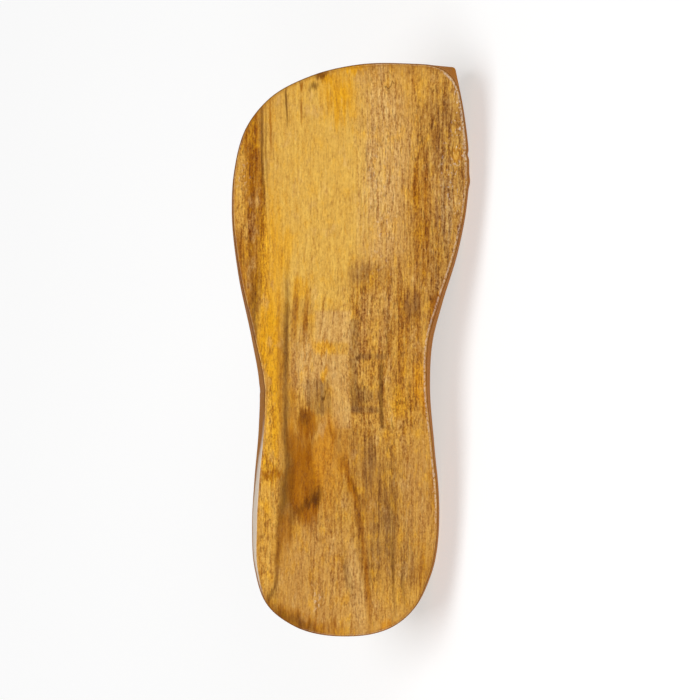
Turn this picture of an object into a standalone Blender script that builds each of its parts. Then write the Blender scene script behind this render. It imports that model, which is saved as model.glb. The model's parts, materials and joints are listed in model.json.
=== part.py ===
"""A paduka for the right foot: one carved wooden sole and a turned toe knob, lying on its side.

Metres, +Z up. Both pieces are made in the sole's own frame: x runs from the heel's back to the toe, y from
the middle line towards the big toe, and z up from the ground plane that the tread stands on. The last step
lays the sandal down on its big-toe side, where the sole's edge and the knob touch the floor.
"""

import math

import bmesh
import bpy
import numpy as np
from mathutils import Matrix, Vector

MM = 0.001

# The outline of the foot bed and how far the tread is set in under it, in mm. It is walked from the sharp
# corner beside the big toe, across the front, down the little-toe side, round the heel and back.
OUTLINE_COLUMNS = ("place", "along", "across", "set_in")
OUTLINE = (
    ("toe corner", 262.6, 48.1, 0.6),
    ("toe front", 263.8, 30.0, 0.5),
    ("toe middle", 263.5, 4.0, 0.4),
    ("third toe", 258.0, -19.0, 0.4),
    ("fourth toe", 248.0, -37.4, 0.4),
    ("little toe", 234.5, -48.4, 0.5),
    ("little toe root", 214.0, -54.1, 0.6),
    ("ball, outer", 196.0, -55.1, 0.8),
    ("behind the ball, outer", 168.0, -52.3, 1.0),
    ("waist front, outer", 137.0, -45.9, 1.6),
    ("waist, outer", 116.0, -42.4, 2.4),
    ("waist back, outer", 96.0, -42.7, 2.4),
    ("heel front, outer", 72.0, -44.7, 2.2),
    ("heel, outer", 50.0, -45.8, 2.2),
    ("heel back, outer", 31.0, -44.6, 1.4),
    ("heel corner, outer", 14.5, -39.0, 0.8),
    ("heel end, outer", 4.4, -25.6, 0.6),
    ("heel end", 0.0, -2.0, 0.6),
    ("heel end, inner", 3.4, 17.6, 0.6),
    ("heel corner, inner", 11.5, 28.4, 0.8),
    ("heel back, inner", 27.5, 36.8, 1.2),
    ("heel, inner", 57.0, 41.0, 0.9),
    ("heel front, inner", 87.0, 38.6, 1.0),
    ("waist, inner", 116.0, 36.5, 1.6),
    ("waist front, inner", 136.0, 37.7, 2.2),
    ("behind the ball, inner", 153.0, 42.0, 1.6),
    ("ball back, inner", 177.0, 49.3, 1.2),
    ("ball, inner", 199.0, 53.5, 1.0),
    ("big toe root", 217.0, 54.6, 1.0),
    ("big toe", 241.0, 52.3, 0.8),
    ("toe corner again", 262.6, 48.1, 0.6),
)
TREAD_CORNER_ROUND = 14.0 * MM
# How the wall climbs from the tread to the foot bed: the share of the height, the share of the set-in that is
# left there, and the share of the toe corner's rounding that is left.
WALL_COLUMNS = ("height", "set_in", "corner")
WALL = (
    (0.26, 0.74, 0.94),
    (0.44, 0.56, 0.66),
    (0.6, 0.4, 0.26),
    (0.76, 0.24, 0.04),
)

# The side view in mm: the height of the foot bed's rim, how deep the foot bed is hollowed below it, and the
# height of the tread above the ground. The tread is flat under the heel and under the ball of the foot.
SECTION_COLUMNS = ("place", "along", "rim", "hollow", "tread")
SECTIONS = (
    ("heel end", 0.0, 26.0, 1.6, 1.0),
    ("heel pad back", 12.0, 25.8, 2.2, 0.0),
    ("heel seat", 46.0, 25.2, 2.8, 0.0),
    ("heel pad front", 80.0, 24.6, 2.2, 0.0),
    ("waist", 122.0, 23.6, 1.2, 2.4),
    ("ball pad back", 166.0, 22.4, 1.6, 0.0),
    ("ball", 196.0, 22.0, 1.8, 0.0),
    ("ball pad front", 228.0, 22.4, 1.2, 0.0),
    ("toe end", 264.0, 24.0, 0.6, 1.8),
)

LENGTH = 264.0 * MM
CENTRE = (126.0 * MM, -2.0 * MM)
LOOP_POINTS = 132
CORNER_CROWDING = 0.5
CORNER_NEIGHBOUR = 3
TOP_EDGE_ROUND = 2.4 * MM
TOP_EDGE_STEPS = 3
TREAD_EDGE_ROUND = 0.8 * MM
FOOT_BED_SHARES = (0.14, 0.28, 0.42, 0.56, 0.68, 0.79, 0.88, 0.95)
TREAD_SHARES = (0.2, 0.36, 0.5, 0.62, 0.73, 0.83, 0.92)
HOLLOW_RIM_SHARE = 0.93

# The toe knob stands in the cleft between the big toe and the second toe.
KNOB_ALONG = 212.0 * MM
KNOB_ACROSS = 16.5 * MM
KNOB_SEAT_DEPTH = 0.7 * MM
KNOB_STEPS = 40
TENON_RADIUS = 5.0 * MM
TENON_LENGTH = 12.0 * MM
TENON_CHAMFER = 0.8 * MM
FIT_GAP = 0.3 * MM
# The turned outline above the seat, in mm: first the collar's edge, then the stem's cove and the underside
# of the head, then its rim and crown.
KNOB_COLUMNS = ("place", "radius", "height")
COLLAR = (
    ("collar foot", 10.4, 0.0),
    ("collar bottom", 10.9, 0.6),
    ("collar top", 10.9, 2.3),
)
STEM_AND_HEAD = (
    ("collar shoulder", 10.3, 3.1),
    ("cove foot", 7.9, 5.4),
    ("cove", 6.3, 9.6),
    ("stem", 5.7, 16.0),
    ("stem top", 6.3, 22.6),
    ("head throat", 8.6, 27.2),
    ("head underside", 12.6, 29.8),
    ("head lip", 15.6, 32.6),
    ("head rim", 16.0, 35.0),
    ("crown shoulder", 14.2, 39.0),
    ("crown", 9.6, 42.2),
    ("crown top", 4.4, 43.8),
)
KNOB_TOP = 44.2 * MM
STEM_CURVE_POINTS = 26
CUTTER_HEADROOM = 4.0 * MM
SAME_POINT = 0.001 * MM

# Colour, roughness and the angle up to which neighbouring faces shade as one surface.
SOLE_FINISH = ((0.55, 0.31, 0.08, 1.0), 0.38, math.radians(32))
KNOB_FINISH = ((0.47, 0.24, 0.06, 1.0), 0.34, math.radians(40))

# The first guess at the way down, which is towards the big toe and a little up, and how often it is bettered.
FIRST_DOWN = (0.0, 1.0, 0.5)
SETTLING_STEPS = 20


def column(table, columns, name):
    """One named column of a table, in metres."""
    place = columns.index(name)
    return np.array([row[place] for row in table]) * MM


def hermite(knots, values, slopes, at):
    """The cubic through the values with the given slopes at the knots, read at the points at."""
    piece = np.clip(np.searchsorted(knots, at, side="right") - 1, 0, len(knots) - 2)
    width = knots[piece + 1] - knots[piece]
    u = (at - knots[piece]) / width
    start, end = values[piece], values[piece + 1]
    lift = slopes[piece] * width
    landing = slopes[piece + 1] * width
    bend = 2 * u**3 - 3 * u**2
    return start * (1 + bend) - end * bend + lift * (u**3 - 2 * u**2 + u) + landing * (u**3 - u**2)


def level_slopes(knots, values):
    """Slopes that keep the curve from overshooting: nought at a peak and beside a level stretch."""
    steps = np.diff(values) / np.diff(knots)
    slopes = np.concatenate((steps[:1], np.zeros(len(knots) - 2), steps[-1:]))
    before, after = steps[:-1], steps[1:]
    rising = before * after > 0
    slopes[1:-1][rising] = 2 * before[rising] * after[rising] / (before + after)[rising]
    return slopes


def section(name, along):
    """A column of the side view, read at distances along the sole."""
    knots = column(SECTIONS, SECTION_COLUMNS, "along")
    values = column(SECTIONS, SECTION_COLUMNS, name)
    return hermite(knots, values, level_slopes(knots, values), np.clip(along, knots[0], knots[-1]))


def outline_loop():
    """Points round the foot bed and the tread's set-in at each, crowded towards the toe corner."""
    x, y, set_in = (column(OUTLINE, OUTLINE_COLUMNS, name) for name in ("along", "across", "set_in"))
    knots = np.concatenate(([0.0], np.cumsum(np.hypot(np.diff(x), np.diff(y)))))
    turn = np.arange(LOOP_POINTS) / LOOP_POINTS
    crowded = turn - CORNER_CROWDING * np.sin(2 * math.pi * turn) / (2 * math.pi)
    at = crowded * knots[-1]
    read = (hermite(knots, v, np.gradient(v, knots), at) for v in (x, y))
    return np.column_stack(tuple(read)), np.interp(at, knots, set_in)


def inward(loop):
    """The unit vector that points into the outline at each point of a clockwise loop."""
    run = np.roll(loop, -1, axis=0) - np.roll(loop, 1, axis=0)
    run /= np.linalg.norm(run, axis=1)[:, None]
    return np.column_stack((run[:, 1], -run[:, 0]))


def rounded_corner(loop, reach, amount):
    """Takes off the corner at the loop's first point by a parabola that starts at reach on each side."""
    from_start = np.concatenate(([0.0], np.cumsum(np.linalg.norm(np.diff(loop, axis=0), axis=1))))
    whole = from_start[-1] + np.linalg.norm(loop[0] - loop[-1])
    distance = np.minimum(from_start, whole - from_start)
    ahead, behind = loop[CORNER_NEIGHBOUR] - loop[0], loop[-CORNER_NEIGHBOUR] - loop[0]
    into = ahead / np.linalg.norm(ahead) + behind / np.linalg.norm(behind)
    shift = amount * reach * np.clip(1 - distance / reach, 0, 1) ** 2 / 4
    return loop + shift[:, None] * into


def lifted(loop, heights):
    """A flat loop with a height for each of its points."""
    return np.column_stack((loop, heights))


def shrunk(loop, share):
    """The loop drawn in towards the sole's centre to a share of its size."""
    return CENTRE + (loop - CENTRE) * share


def foot_bed_height(loop, share):
    """The hollowed top: full depth in the middle, easing up to the rim."""
    ease = np.clip(share / HOLLOW_RIM_SHARE, 0, 1) ** 2
    return section("rim", loop[:, 0]) - section("hollow", loop[:, 0]) * (1 - ease) ** 2 * (1 + 2 * ease)


def foot_bed_rows(edge, into):
    """Rows from the middle of the foot bed out to its rim and over the rounded edge to the wall."""
    bed = edge + into * TOP_EDGE_ROUND
    rows = []
    for share in FOOT_BED_SHARES + (1.0,):
        loop = shrunk(bed, share)
        rows.append(lifted(loop, foot_bed_height(loop, share)))
    for step in range(1, TOP_EDGE_STEPS + 1):
        angle = math.pi / 2 * step / TOP_EDGE_STEPS
        loop = edge + into * TOP_EDGE_ROUND * (1 - math.sin(angle))
        drop = TOP_EDGE_ROUND * (1 - math.cos(angle))
        rows.append(lifted(loop, section("rim", edge[:, 0]) - drop))
    return rows


def wall_rows(edge, into, set_in):
    """Rows down the wall, which narrows to the tread and rounds off the toe corner on its way."""
    rows = []
    for height, set_in_share, corner_share in WALL[::-1]:
        narrowed = edge + into * (set_in * set_in_share)[:, None]
        loop = rounded_corner(narrowed, TREAD_CORNER_ROUND, corner_share)
        ground = section("tread", loop[:, 0])
        rows.append(lifted(loop, ground + height * (section("rim", loop[:, 0]) - ground)))
    return rows


def tread_rows(edge, into, set_in):
    """Rows from the foot of the wall over the tread's eased edge and in to its middle."""
    tread = rounded_corner(edge + into * set_in[:, None], TREAD_CORNER_ROUND, 1.0)
    flat = tread + inward(tread) * TREAD_EDGE_ROUND
    rows = [lifted(tread, section("tread", tread[:, 0]) + TREAD_EDGE_ROUND)]
    for share in (1.0,) + TREAD_SHARES[::-1]:
        loop = shrunk(flat, share)
        rows.append(lifted(loop, section("tread", loop[:, 0])))
    return rows


def sole_rows():
    """Closed rows of points from the foot bed's middle, over the edge and under to the tread's middle."""
    edge, set_in = outline_loop()
    into = inward(edge)
    into[0] = into[1] + into[-1]
    return foot_bed_rows(edge, into) + wall_rows(edge, into, set_in) + tread_rows(edge, into, set_in)


def skinned(name, rows, top, bottom):
    """A closed mesh over rows of points, with a fan from the top point and one to the bottom point."""
    mesh = bpy.data.meshes.new(name)
    bm = bmesh.new()
    rings = [[bm.verts.new(point) for point in row] for row in rows]
    for ring, following in zip(rings, rings[1:]):
        for i in range(len(ring)):
            bm.faces.new((ring[i - 1], ring[i], following[i], following[i - 1]))
    for point, ring in ((top, rings[0]), (bottom, rings[-1])):
        pole = bm.verts.new(point)
        for i in range(len(ring)):
            bm.faces.new((ring[i - 1], ring[i], pole))
    bmesh.ops.recalc_face_normals(bm, faces=bm.faces)
    bm.to_mesh(mesh)
    bm.free()
    return mesh


def turned(name, profile, steps):
    """A closed mesh spun round the z axis from a profile of (radius, height) that starts and ends on it."""
    mesh = bpy.data.meshes.new(name)
    bm = bmesh.new()
    verts = [bm.verts.new((radius, 0.0, height)) for radius, height in profile]
    edges = [bm.edges.new(pair) for pair in zip(verts, verts[1:])]
    bmesh.ops.spin(
        bm,
        geom=verts + edges,
        axis=(0, 0, 1),
        cent=(0, 0, 0),
        angle=2 * math.pi,
        steps=steps,
        use_merge=True,
    )
    bmesh.ops.remove_doubles(bm, verts=bm.verts, dist=SAME_POINT)
    bmesh.ops.recalc_face_normals(bm, faces=bm.faces)
    bm.to_mesh(mesh)
    bm.free()
    return mesh


def placed(name, mesh, slot, finish):
    """The object of a mesh in the scene, with varnished wood in its one material slot."""
    colour, roughness, smooth_angle = finish
    wood = bpy.data.materials.new(slot)
    wood.use_nodes = True
    shader = wood.node_tree.nodes["Principled BSDF"]
    shader.inputs["Base Color"].default_value = colour
    shader.inputs["Roughness"].default_value = roughness
    mesh.materials.append(wood)
    mesh.shade_smooth()
    mesh.set_sharp_from_angle(angle=smooth_angle)
    obj = bpy.data.objects.new(name, mesh)
    bpy.context.scene.collection.objects.link(obj)
    return obj


def knob_seat_height():
    """The level of the flat that is sunk into the foot bed for the knob's collar."""
    place = np.array([[KNOB_ALONG, KNOB_ACROSS]])
    share = abs(KNOB_ALONG - CENTRE[0]) / (LENGTH - CENTRE[0])
    return float(foot_bed_height(place, share)[0]) - KNOB_SEAT_DEPTH


def make_mortise_cutter(seat):
    """The hole for the knob: a wide flat for its collar and a blind mortise for its tenon."""
    collar = max(column(COLLAR, KNOB_COLUMNS, "radius")) + FIT_GAP
    tenon = TENON_RADIUS + FIT_GAP
    floor = -TENON_LENGTH - FIT_GAP
    above = CUTTER_HEADROOM
    profile = ((0, floor), (tenon, floor), (tenon, 0), (collar, 0), (collar, above), (0, above))
    cutter = bpy.data.objects.new("mortise_cutter", turned("mortise_cutter", profile, KNOB_STEPS))
    cutter.location = (KNOB_ALONG, KNOB_ACROSS, seat)
    cutter.display_type = "WIRE"
    cutter.hide_render = True
    bpy.context.scene.collection.objects.link(cutter)
    return cutter


def make_sole(cutter):
    """The carved block, from which the cutter takes the mortise."""
    middle = np.array([CENTRE])
    top = (*CENTRE, float(foot_bed_height(middle, 0.0)[0]))
    bottom = (*CENTRE, float(section("tread", middle[:, 0])[0]))
    sole = placed("sole", skinned("sole", sole_rows(), top, bottom), "sole_wood", SOLE_FINISH)
    mortise = sole.modifiers.new("mortise", "BOOLEAN")
    mortise.operation = "DIFFERENCE"
    mortise.solver = "EXACT"
    mortise.object = cutter
    return sole


def knob_profile():
    """The knob's outline from the tenon's end to the crown, as (radius, height) above the seat."""
    tenon = (
        (0, -TENON_LENGTH),
        (TENON_RADIUS - TENON_CHAMFER, -TENON_LENGTH),
        (TENON_RADIUS, -TENON_LENGTH + TENON_CHAMFER),
        (TENON_RADIUS, FIT_GAP),
    )
    collar = zip(*(column(COLLAR, KNOB_COLUMNS, name) for name in ("radius", "height")))
    radius = np.append(column(STEM_AND_HEAD, KNOB_COLUMNS, "radius"), 0)
    height = np.append(column(STEM_AND_HEAD, KNOB_COLUMNS, "height"), KNOB_TOP)
    knots = np.concatenate(([0.0], np.cumsum(np.hypot(np.diff(radius), np.diff(height)))))
    at = np.linspace(0, knots[-1], STEM_CURVE_POINTS)
    curve = [hermite(knots, v, np.gradient(v, knots), at) for v in (radius, height)]
    above = [(r, h + FIT_GAP) for r, h in [*collar, *zip(*curve)]]
    above[-1] = (0, above[-1][1])
    return [*tenon, *above]


def make_toe_knob(seat):
    """The turned knob, whose collar stands a fit gap above the seat."""
    knob = placed("toe_knob", turned("toe_knob", knob_profile(), KNOB_STEPS), "knob_wood", KNOB_FINISH)
    knob.location = (KNOB_ALONG, KNOB_ACROSS, seat)
    return knob


def corners_of(obj):
    """The object's points in the sole's frame, before it is laid down."""
    place = np.array(obj.location)
    return np.array([vertex.co for vertex in obj.data.vertices]) + place


def lying_matrix(sole, knob):
    """The turn and shift that lay the sandal on its big-toe side.

    It rests on three points: the sole's edge beside the heel, its edge beside the ball of the foot, and the
    knob's rim. The down direction is turned until the plane through those three is the lowest one.
    """
    edge, head = corners_of(sole), corners_of(knob)
    at_ball = edge[edge[:, 0] > LENGTH / 2]
    at_heel = edge[edge[:, 0] <= LENGTH / 2]
    down = np.array(FIRST_DOWN)
    for _ in range(SETTLING_STEPS):
        ball, heel, rim = (points[np.argmax(points @ down)] for points in (at_ball, at_heel, head))
        down = np.cross(ball - heel, rim - heel)
        down *= math.copysign(1 / np.linalg.norm(down), down[1])
    along = (ball - heel) / np.linalg.norm(ball - heel)
    turn = np.array((along, np.cross(-down, along), -down))
    lying = np.vstack((edge, head)) @ turn.T
    low, high = lying.min(axis=0), lying.max(axis=0)
    shift = Vector((-(low[0] + high[0]) / 2, -(low[1] + high[1]) / 2, -low[2]))
    return Matrix.Translation(shift) @ Matrix(turn.tolist()).to_4x4()


def main():
    """Clears the scene, makes the two pieces in the sole's frame and lays them on their side."""
    for obj in list(bpy.data.objects):
        bpy.data.objects.remove(obj)
    seat = knob_seat_height()
    cutter = make_mortise_cutter(seat)
    sole = make_sole(cutter)
    knob = make_toe_knob(seat)
    laid_down = bpy.data.objects.new("laid_down", None)
    bpy.context.scene.collection.objects.link(laid_down)
    laid_down.matrix_world = lying_matrix(sole, knob)
    for obj in (sole, knob, cutter):
        obj.parent = laid_down


main()
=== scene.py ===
# %% [markdown]
# # A varnished wooden paduka, lying on its side
#
# A paduka is a sandal without straps: a flat wooden sole, and a knob that the big toe and the second toe
# hold between them. This one has come to rest on its big-toe side, so we look straight at the tread, where
# the figure of the wood shows best. The lesson builds it in four steps: the sole's own frame, the two
# surfaces, the wood, and the light.

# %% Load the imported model
import json

import bpy
import numpy as np
from mathutils import Matrix, Vector


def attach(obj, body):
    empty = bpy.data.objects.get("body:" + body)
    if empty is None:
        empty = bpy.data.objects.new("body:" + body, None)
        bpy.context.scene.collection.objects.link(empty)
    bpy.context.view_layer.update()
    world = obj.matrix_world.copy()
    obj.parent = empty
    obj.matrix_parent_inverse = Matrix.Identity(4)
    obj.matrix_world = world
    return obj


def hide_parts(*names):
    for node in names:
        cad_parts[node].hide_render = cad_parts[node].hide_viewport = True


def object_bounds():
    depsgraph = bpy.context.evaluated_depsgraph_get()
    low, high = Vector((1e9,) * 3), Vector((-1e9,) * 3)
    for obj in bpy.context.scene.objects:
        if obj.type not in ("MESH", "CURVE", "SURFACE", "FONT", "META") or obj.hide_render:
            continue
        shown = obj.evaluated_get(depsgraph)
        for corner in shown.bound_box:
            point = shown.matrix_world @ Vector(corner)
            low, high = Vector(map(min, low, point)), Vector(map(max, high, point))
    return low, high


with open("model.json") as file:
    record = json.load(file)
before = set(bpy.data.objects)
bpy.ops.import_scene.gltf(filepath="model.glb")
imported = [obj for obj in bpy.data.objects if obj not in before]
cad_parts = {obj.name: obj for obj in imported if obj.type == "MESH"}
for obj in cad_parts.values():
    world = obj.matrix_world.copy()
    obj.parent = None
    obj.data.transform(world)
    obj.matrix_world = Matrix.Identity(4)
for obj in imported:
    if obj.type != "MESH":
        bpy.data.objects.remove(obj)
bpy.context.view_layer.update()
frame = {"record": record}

# %% [markdown]
# ## The sole's own frame
#
# A maker measures a sole along its length, across it and up from the ground, and so do we. The record gives
# the two flats of the tread that stand on one plane. The line from one to the other is the sole's middle
# line, and the way that they face is straight down. Those two directions and their cross product turn the
# maker's millimetres into the places where the sandal lies.

# %% Find the middle line and the ground of the sole
MM = 0.001
HEEL_FLAT_ALONG = 46.0
FOREFOOT_FLAT_ALONG = 196.0

mounts = {mount["name"]: mount for mount in frame["record"]["mounts"]}
heel_flat = np.array(mounts["heel_tread"]["pos_m"])
forefoot_flat = np.array(mounts["forefoot_tread"]["pos_m"])
up = -np.array(mounts["heel_tread"]["axis"])
up /= np.linalg.norm(up)
along = forefoot_flat - heel_flat
along -= up * (along @ up)
along /= np.linalg.norm(along)
across = np.cross(up, along)
lay_down = np.array((along, across, up))
heel_end = heel_flat - along * HEEL_FLAT_ALONG * MM
print("flats lie", round(float(np.linalg.norm(forefoot_flat - heel_flat)) / MM, 1), "mm apart, and should be",
      FOREFOOT_FLAT_ALONG - HEEL_FLAT_ALONG)


def laid(points):
    """Takes points in the sole's millimetres to where they lie: heel end + along x + across y + up z."""
    return heel_end + (points * MM) @ lay_down

# %% [markdown]
# ## The outline, walked like a pencil round a foot
#
# The outline starts at the sharp corner beside the big toe. It crosses the front, runs down the little-toe
# side, goes round the heel and comes back. Between the named points runs a smooth cubic, so thirty points are
# enough. The last column says how far the tread is set in under the edge, because the wall leans inwards on
# its way to the ground.

# %% The outline's points
OUTLINE_COLUMNS = ("place", "along", "across", "set_in")
OUTLINE = (
    ("toe corner", 262.6, 48.1, 0.6),
    ("toe front", 263.8, 30.0, 0.5),
    ("toe middle", 263.5, 4.0, 0.4),
    ("third toe", 258.0, -19.0, 0.4),
    ("fourth toe", 248.0, -37.4, 0.4),
    ("little toe", 234.5, -48.4, 0.5),
    ("little toe root", 214.0, -54.1, 0.6),
    ("ball, outer", 196.0, -55.1, 0.8),
    ("behind the ball, outer", 168.0, -52.3, 1.0),
    ("waist front, outer", 137.0, -45.9, 1.6),
    ("waist, outer", 116.0, -42.4, 2.4),
    ("waist back, outer", 96.0, -42.7, 2.4),
    ("heel front, outer", 72.0, -44.7, 2.2),
    ("heel, outer", 50.0, -45.8, 2.2),
    ("heel back, outer", 31.0, -44.6, 1.4),
    ("heel corner, outer", 14.5, -39.0, 0.8),
    ("heel end, outer", 4.4, -25.6, 0.6),
    ("heel end", 0.0, -2.0, 0.6),
    ("heel end, inner", 3.4, 17.6, 0.6),
    ("heel corner, inner", 11.5, 28.4, 0.8),
    ("heel back, inner", 27.5, 36.8, 1.2),
    ("heel, inner", 57.0, 41.0, 0.9),
    ("heel front, inner", 87.0, 38.6, 1.0),
    ("waist, inner", 116.0, 36.5, 1.6),
    ("waist front, inner", 136.0, 37.7, 2.2),
    ("behind the ball, inner", 153.0, 42.0, 1.6),
    ("ball back, inner", 177.0, 49.3, 1.2),
    ("ball, inner", 199.0, 53.5, 1.0),
    ("big toe root", 217.0, 54.6, 1.0),
    ("big toe", 241.0, 52.3, 0.8),
    ("toe corner again", 262.6, 48.1, 0.6),
)
LOOP_POINTS = 560
CORNER_CROWDING = 0.5


def column(table, columns, name):
    """One named column of a table, as an array."""
    place = columns.index(name)
    return np.array([row[place] for row in table], dtype=float)


def cubic(knots, values, slopes, at):
    """The cubic that passes each knot at its value and with its slope."""
    piece = np.clip(np.searchsorted(knots, at, side="right") - 1, 0, len(knots) - 2)
    width = knots[piece + 1] - knots[piece]
    u = (at - knots[piece]) / width
    start, end = values[piece], values[piece + 1]
    bend = 2 * u**3 - 3 * u**2
    lift = slopes[piece] * width * (u**3 - 2 * u**2 + u)
    landing = slopes[piece + 1] * width * (u**3 - u**2)
    return start * (1 + bend) - end * bend + lift + landing


def level_slopes(knots, values):
    """Slopes that never overshoot: nought at a peak and beside a level stretch, else the harmonic mean."""
    steps = np.diff(values) / np.diff(knots)
    slopes = np.concatenate((steps[:1], np.zeros(len(knots) - 2), steps[-1:]))
    before, after = steps[:-1], steps[1:]
    rising = before * after > 0
    slopes[1:-1][rising] = 2 * before[rising] * after[rising] / (before + after)[rising]
    return slopes


def outline_loop():
    """Points round the edge and the set-in at each, with more of them near the toe corner."""
    x, y, set_in = (column(OUTLINE, OUTLINE_COLUMNS, name) for name in OUTLINE_COLUMNS[1:])
    knots = np.concatenate(([0.0], np.cumsum(np.hypot(np.diff(x), np.diff(y)))))
    turn = np.arange(LOOP_POINTS) / LOOP_POINTS
    at = (turn - CORNER_CROWDING * np.sin(2 * np.pi * turn) / (2 * np.pi)) * knots[-1]
    loop = np.column_stack([cubic(knots, v, np.gradient(v, knots), at) for v in (x, y)])
    return loop, np.interp(at, knots, set_in)

# %% [markdown]
# ## Nicks and bumps
#
# A hand-cut edge is never quite fair. The few places where the saw or the rasp slipped are worth keeping,
# because the eye reads them as wood. Each is a small bell-shaped push on the outline.

# %% Push the outline in and out
NICK_COLUMNS = ("place", "along", "across", "width", "push")
NICKS = (
    ("saw bump beside the ball", 209.8, 54.5, 2.6, 0.55),
    ("rasp nick beside the ball", 222.2, 54.2, 1.3, -0.6),
    ("chip at the waist", 113.6, -42.3, 0.8, -0.45),
    ("flat at the heel", 62.0, 40.8, 9.0, -0.25),
    ("flat at the heel's end", 3.0, 14.0, 7.0, -0.25),
)


def inward(loop):
    """The unit vector into the outline at each point of a clockwise loop: the run turned by a quarter."""
    run = np.roll(loop, -1, axis=0) - np.roll(loop, 1, axis=0)
    run /= np.linalg.norm(run, axis=1)[:, None]
    return np.column_stack((run[:, 1], -run[:, 0]))


def nicked(loop):
    """Moves each point outwards by push x exp(-(distance / width)^2) for every nick."""
    outward = -inward(loop)
    for row in NICKS:
        nick = dict(zip(NICK_COLUMNS, row))
        distance = np.hypot(loop[:, 0] - nick["along"], loop[:, 1] - nick["across"])
        loop = loop + outward * (nick["push"] * np.exp(-(distance / nick["width"]) ** 2))[:, None]
    return loop


edge_loop, tread_set_in = outline_loop()
edge_loop = nicked(edge_loop)
print("outline", np.ptp(edge_loop, axis=0).round(1), "mm, points", len(edge_loop))

# %% [markdown]
# ## The side view
#
# The block is 22 to 26 mm thick. The tread stands on the ground under the heel and under the ball of the
# foot, arches a little between them and rises a little at the toe. The top is hollowed for the foot.

# %% Heights along the sole
SECTION_COLUMNS = ("place", "along", "rim", "hollow", "tread")
SECTIONS = (
    ("heel end", 0.0, 26.0, 1.6, 1.0),
    ("heel pad back", 12.0, 25.8, 2.2, 0.0),
    ("heel seat", 46.0, 25.2, 2.8, 0.0),
    ("heel pad front", 80.0, 24.6, 2.2, 0.0),
    ("waist", 122.0, 23.6, 1.2, 2.4),
    ("ball pad back", 166.0, 22.4, 1.6, 0.0),
    ("ball", 196.0, 22.0, 1.8, 0.0),
    ("ball pad front", 228.0, 22.4, 1.2, 0.0),
    ("toe end", 264.0, 24.0, 0.6, 1.8),
)
LENGTH = 264.0
CENTRE = np.array((126.0, -2.0))
HOLLOW_RIM_SHARE = 0.93


def section(name, x):
    """A column of the side view at distances along the sole."""
    knots = column(SECTIONS, SECTION_COLUMNS, "along")
    values = column(SECTIONS, SECTION_COLUMNS, name)
    return cubic(knots, values, level_slopes(knots, values), np.clip(x, knots[0], knots[-1]))


def share_of_way(points, loop):
    """How far each point is from the centre, as a share of the way to the loop in the same direction."""
    sight = loop - CENTRE
    bearing = np.arctan2(sight[:, 1], sight[:, 0])
    order = np.argsort(bearing)
    gaze = points - CENTRE
    reach = np.interp(np.arctan2(gaze[..., 1], gaze[..., 0]), bearing[order],
                      np.linalg.norm(sight, axis=1)[order], period=2 * np.pi)
    return np.linalg.norm(gaze, axis=-1) / reach


def hollowed(points, share):
    """The rim's height less the hollow, which fades out with the share of the way as a smooth step."""
    ease = np.clip(share / HOLLOW_RIM_SHARE, 0, 1) ** 2
    fade = (1 - ease) ** 2 * (1 + 2 * ease)
    return section("rim", points[..., 0]) - section("hollow", points[..., 0]) * fade


def foot_bed_height(points, loop):
    """The hollowed height of each point, by its share of the way to the loop."""
    return hollowed(points, share_of_way(points, loop))

# %% [markdown]
# ## One skin for the whole sole
#
# The sole is a grid wrapped round it like a sock. One parameter goes round the outline. The other starts at
# the bottom of the knob's mortise, climbs out of it, crosses the foot bed to the rim, rolls over the edge,
# goes down the wall and under to the middle of the tread. Starting in the mortise makes the hole a part of
# the grid, so nothing has to be cut.

# %% [markdown]
# ## The corner beside the big toe
#
# The outline has one sharp corner, its first point. The foot bed keeps it and only eases it, while the tread
# below has it well rounded. Rings that run inside a sharp corner would cross each other there, so near it
# they are pushed in along its mitre, like the joint in the corner of a picture frame.

# %% Round off and mitre the corner
MITRE_REACH = 8.0
CORNER_LOOK = 12


def near_corner(loop, reach):
    """One at the loop's first point, falling evenly to nought at a distance of reach along the loop."""
    steps = np.linalg.norm(np.diff(loop, axis=0, append=loop[:1]), axis=1)
    from_start = np.concatenate(([0.0], np.cumsum(steps)[:-1]))
    return np.clip(1 - np.minimum(from_start, steps.sum() - from_start) / reach, 0, 1)[:, None]


def rounded_corner(loop, reach, amount):
    """Takes off the corner at the loop's first point by a parabola that starts at reach on each side.

    The two sides' directions are taken from the points that are CORNER_LOOK steps away.
    """
    ahead, behind = loop[CORNER_LOOK] - loop[0], loop[-CORNER_LOOK] - loop[0]
    into = ahead / np.linalg.norm(ahead) + behind / np.linalg.norm(behind)
    return loop + amount * reach * near_corner(loop, reach) ** 2 / 4 * into


def mitred(loop, into):
    """Leans the inward vectors beside the corner towards its mitre, so that loops inside don't cross there.

    The mitre of two unit vectors a and b is (a + b) / (1 + a . b): it is as far from both sides.
    """
    ahead, behind = into[1], into[-1]
    mitre = (ahead + behind) / (1 + ahead @ behind)
    first_half = np.arange(len(loop))[:, None] < len(loop) / 2
    leaning = into + near_corner(loop, MITRE_REACH) * np.where(first_half, mitre - ahead, mitre - behind)
    leaning[0] = mitre
    return leaning

# %% The loops at the top edge and the place of the knob
TOP_EDGE_ROUND = 2.4
TOP_CORNER_ROUND = 1.6
KNOB_PLACE = np.array((212.0, 16.5))
KNOB_SEAT_DEPTH = 0.7
knob_share = (KNOB_PLACE[0] - CENTRE[0]) / (LENGTH - CENTRE[0])
knob_seat = float(hollowed(KNOB_PLACE[None], knob_share)[0]) - KNOB_SEAT_DEPTH
print("the knob's seat is", round(knob_seat, 2), "mm above the ground")
into_edge = mitred(edge_loop, inward(edge_loop))
soft_loop = rounded_corner(edge_loop, TOP_CORNER_ROUND, 1.0)
bed_loop = soft_loop + into_edge * TOP_EDGE_ROUND
bed_sight = bed_loop - KNOB_PLACE
bed_bearing = bed_sight / np.linalg.norm(bed_sight, axis=1)[:, None]

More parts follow.
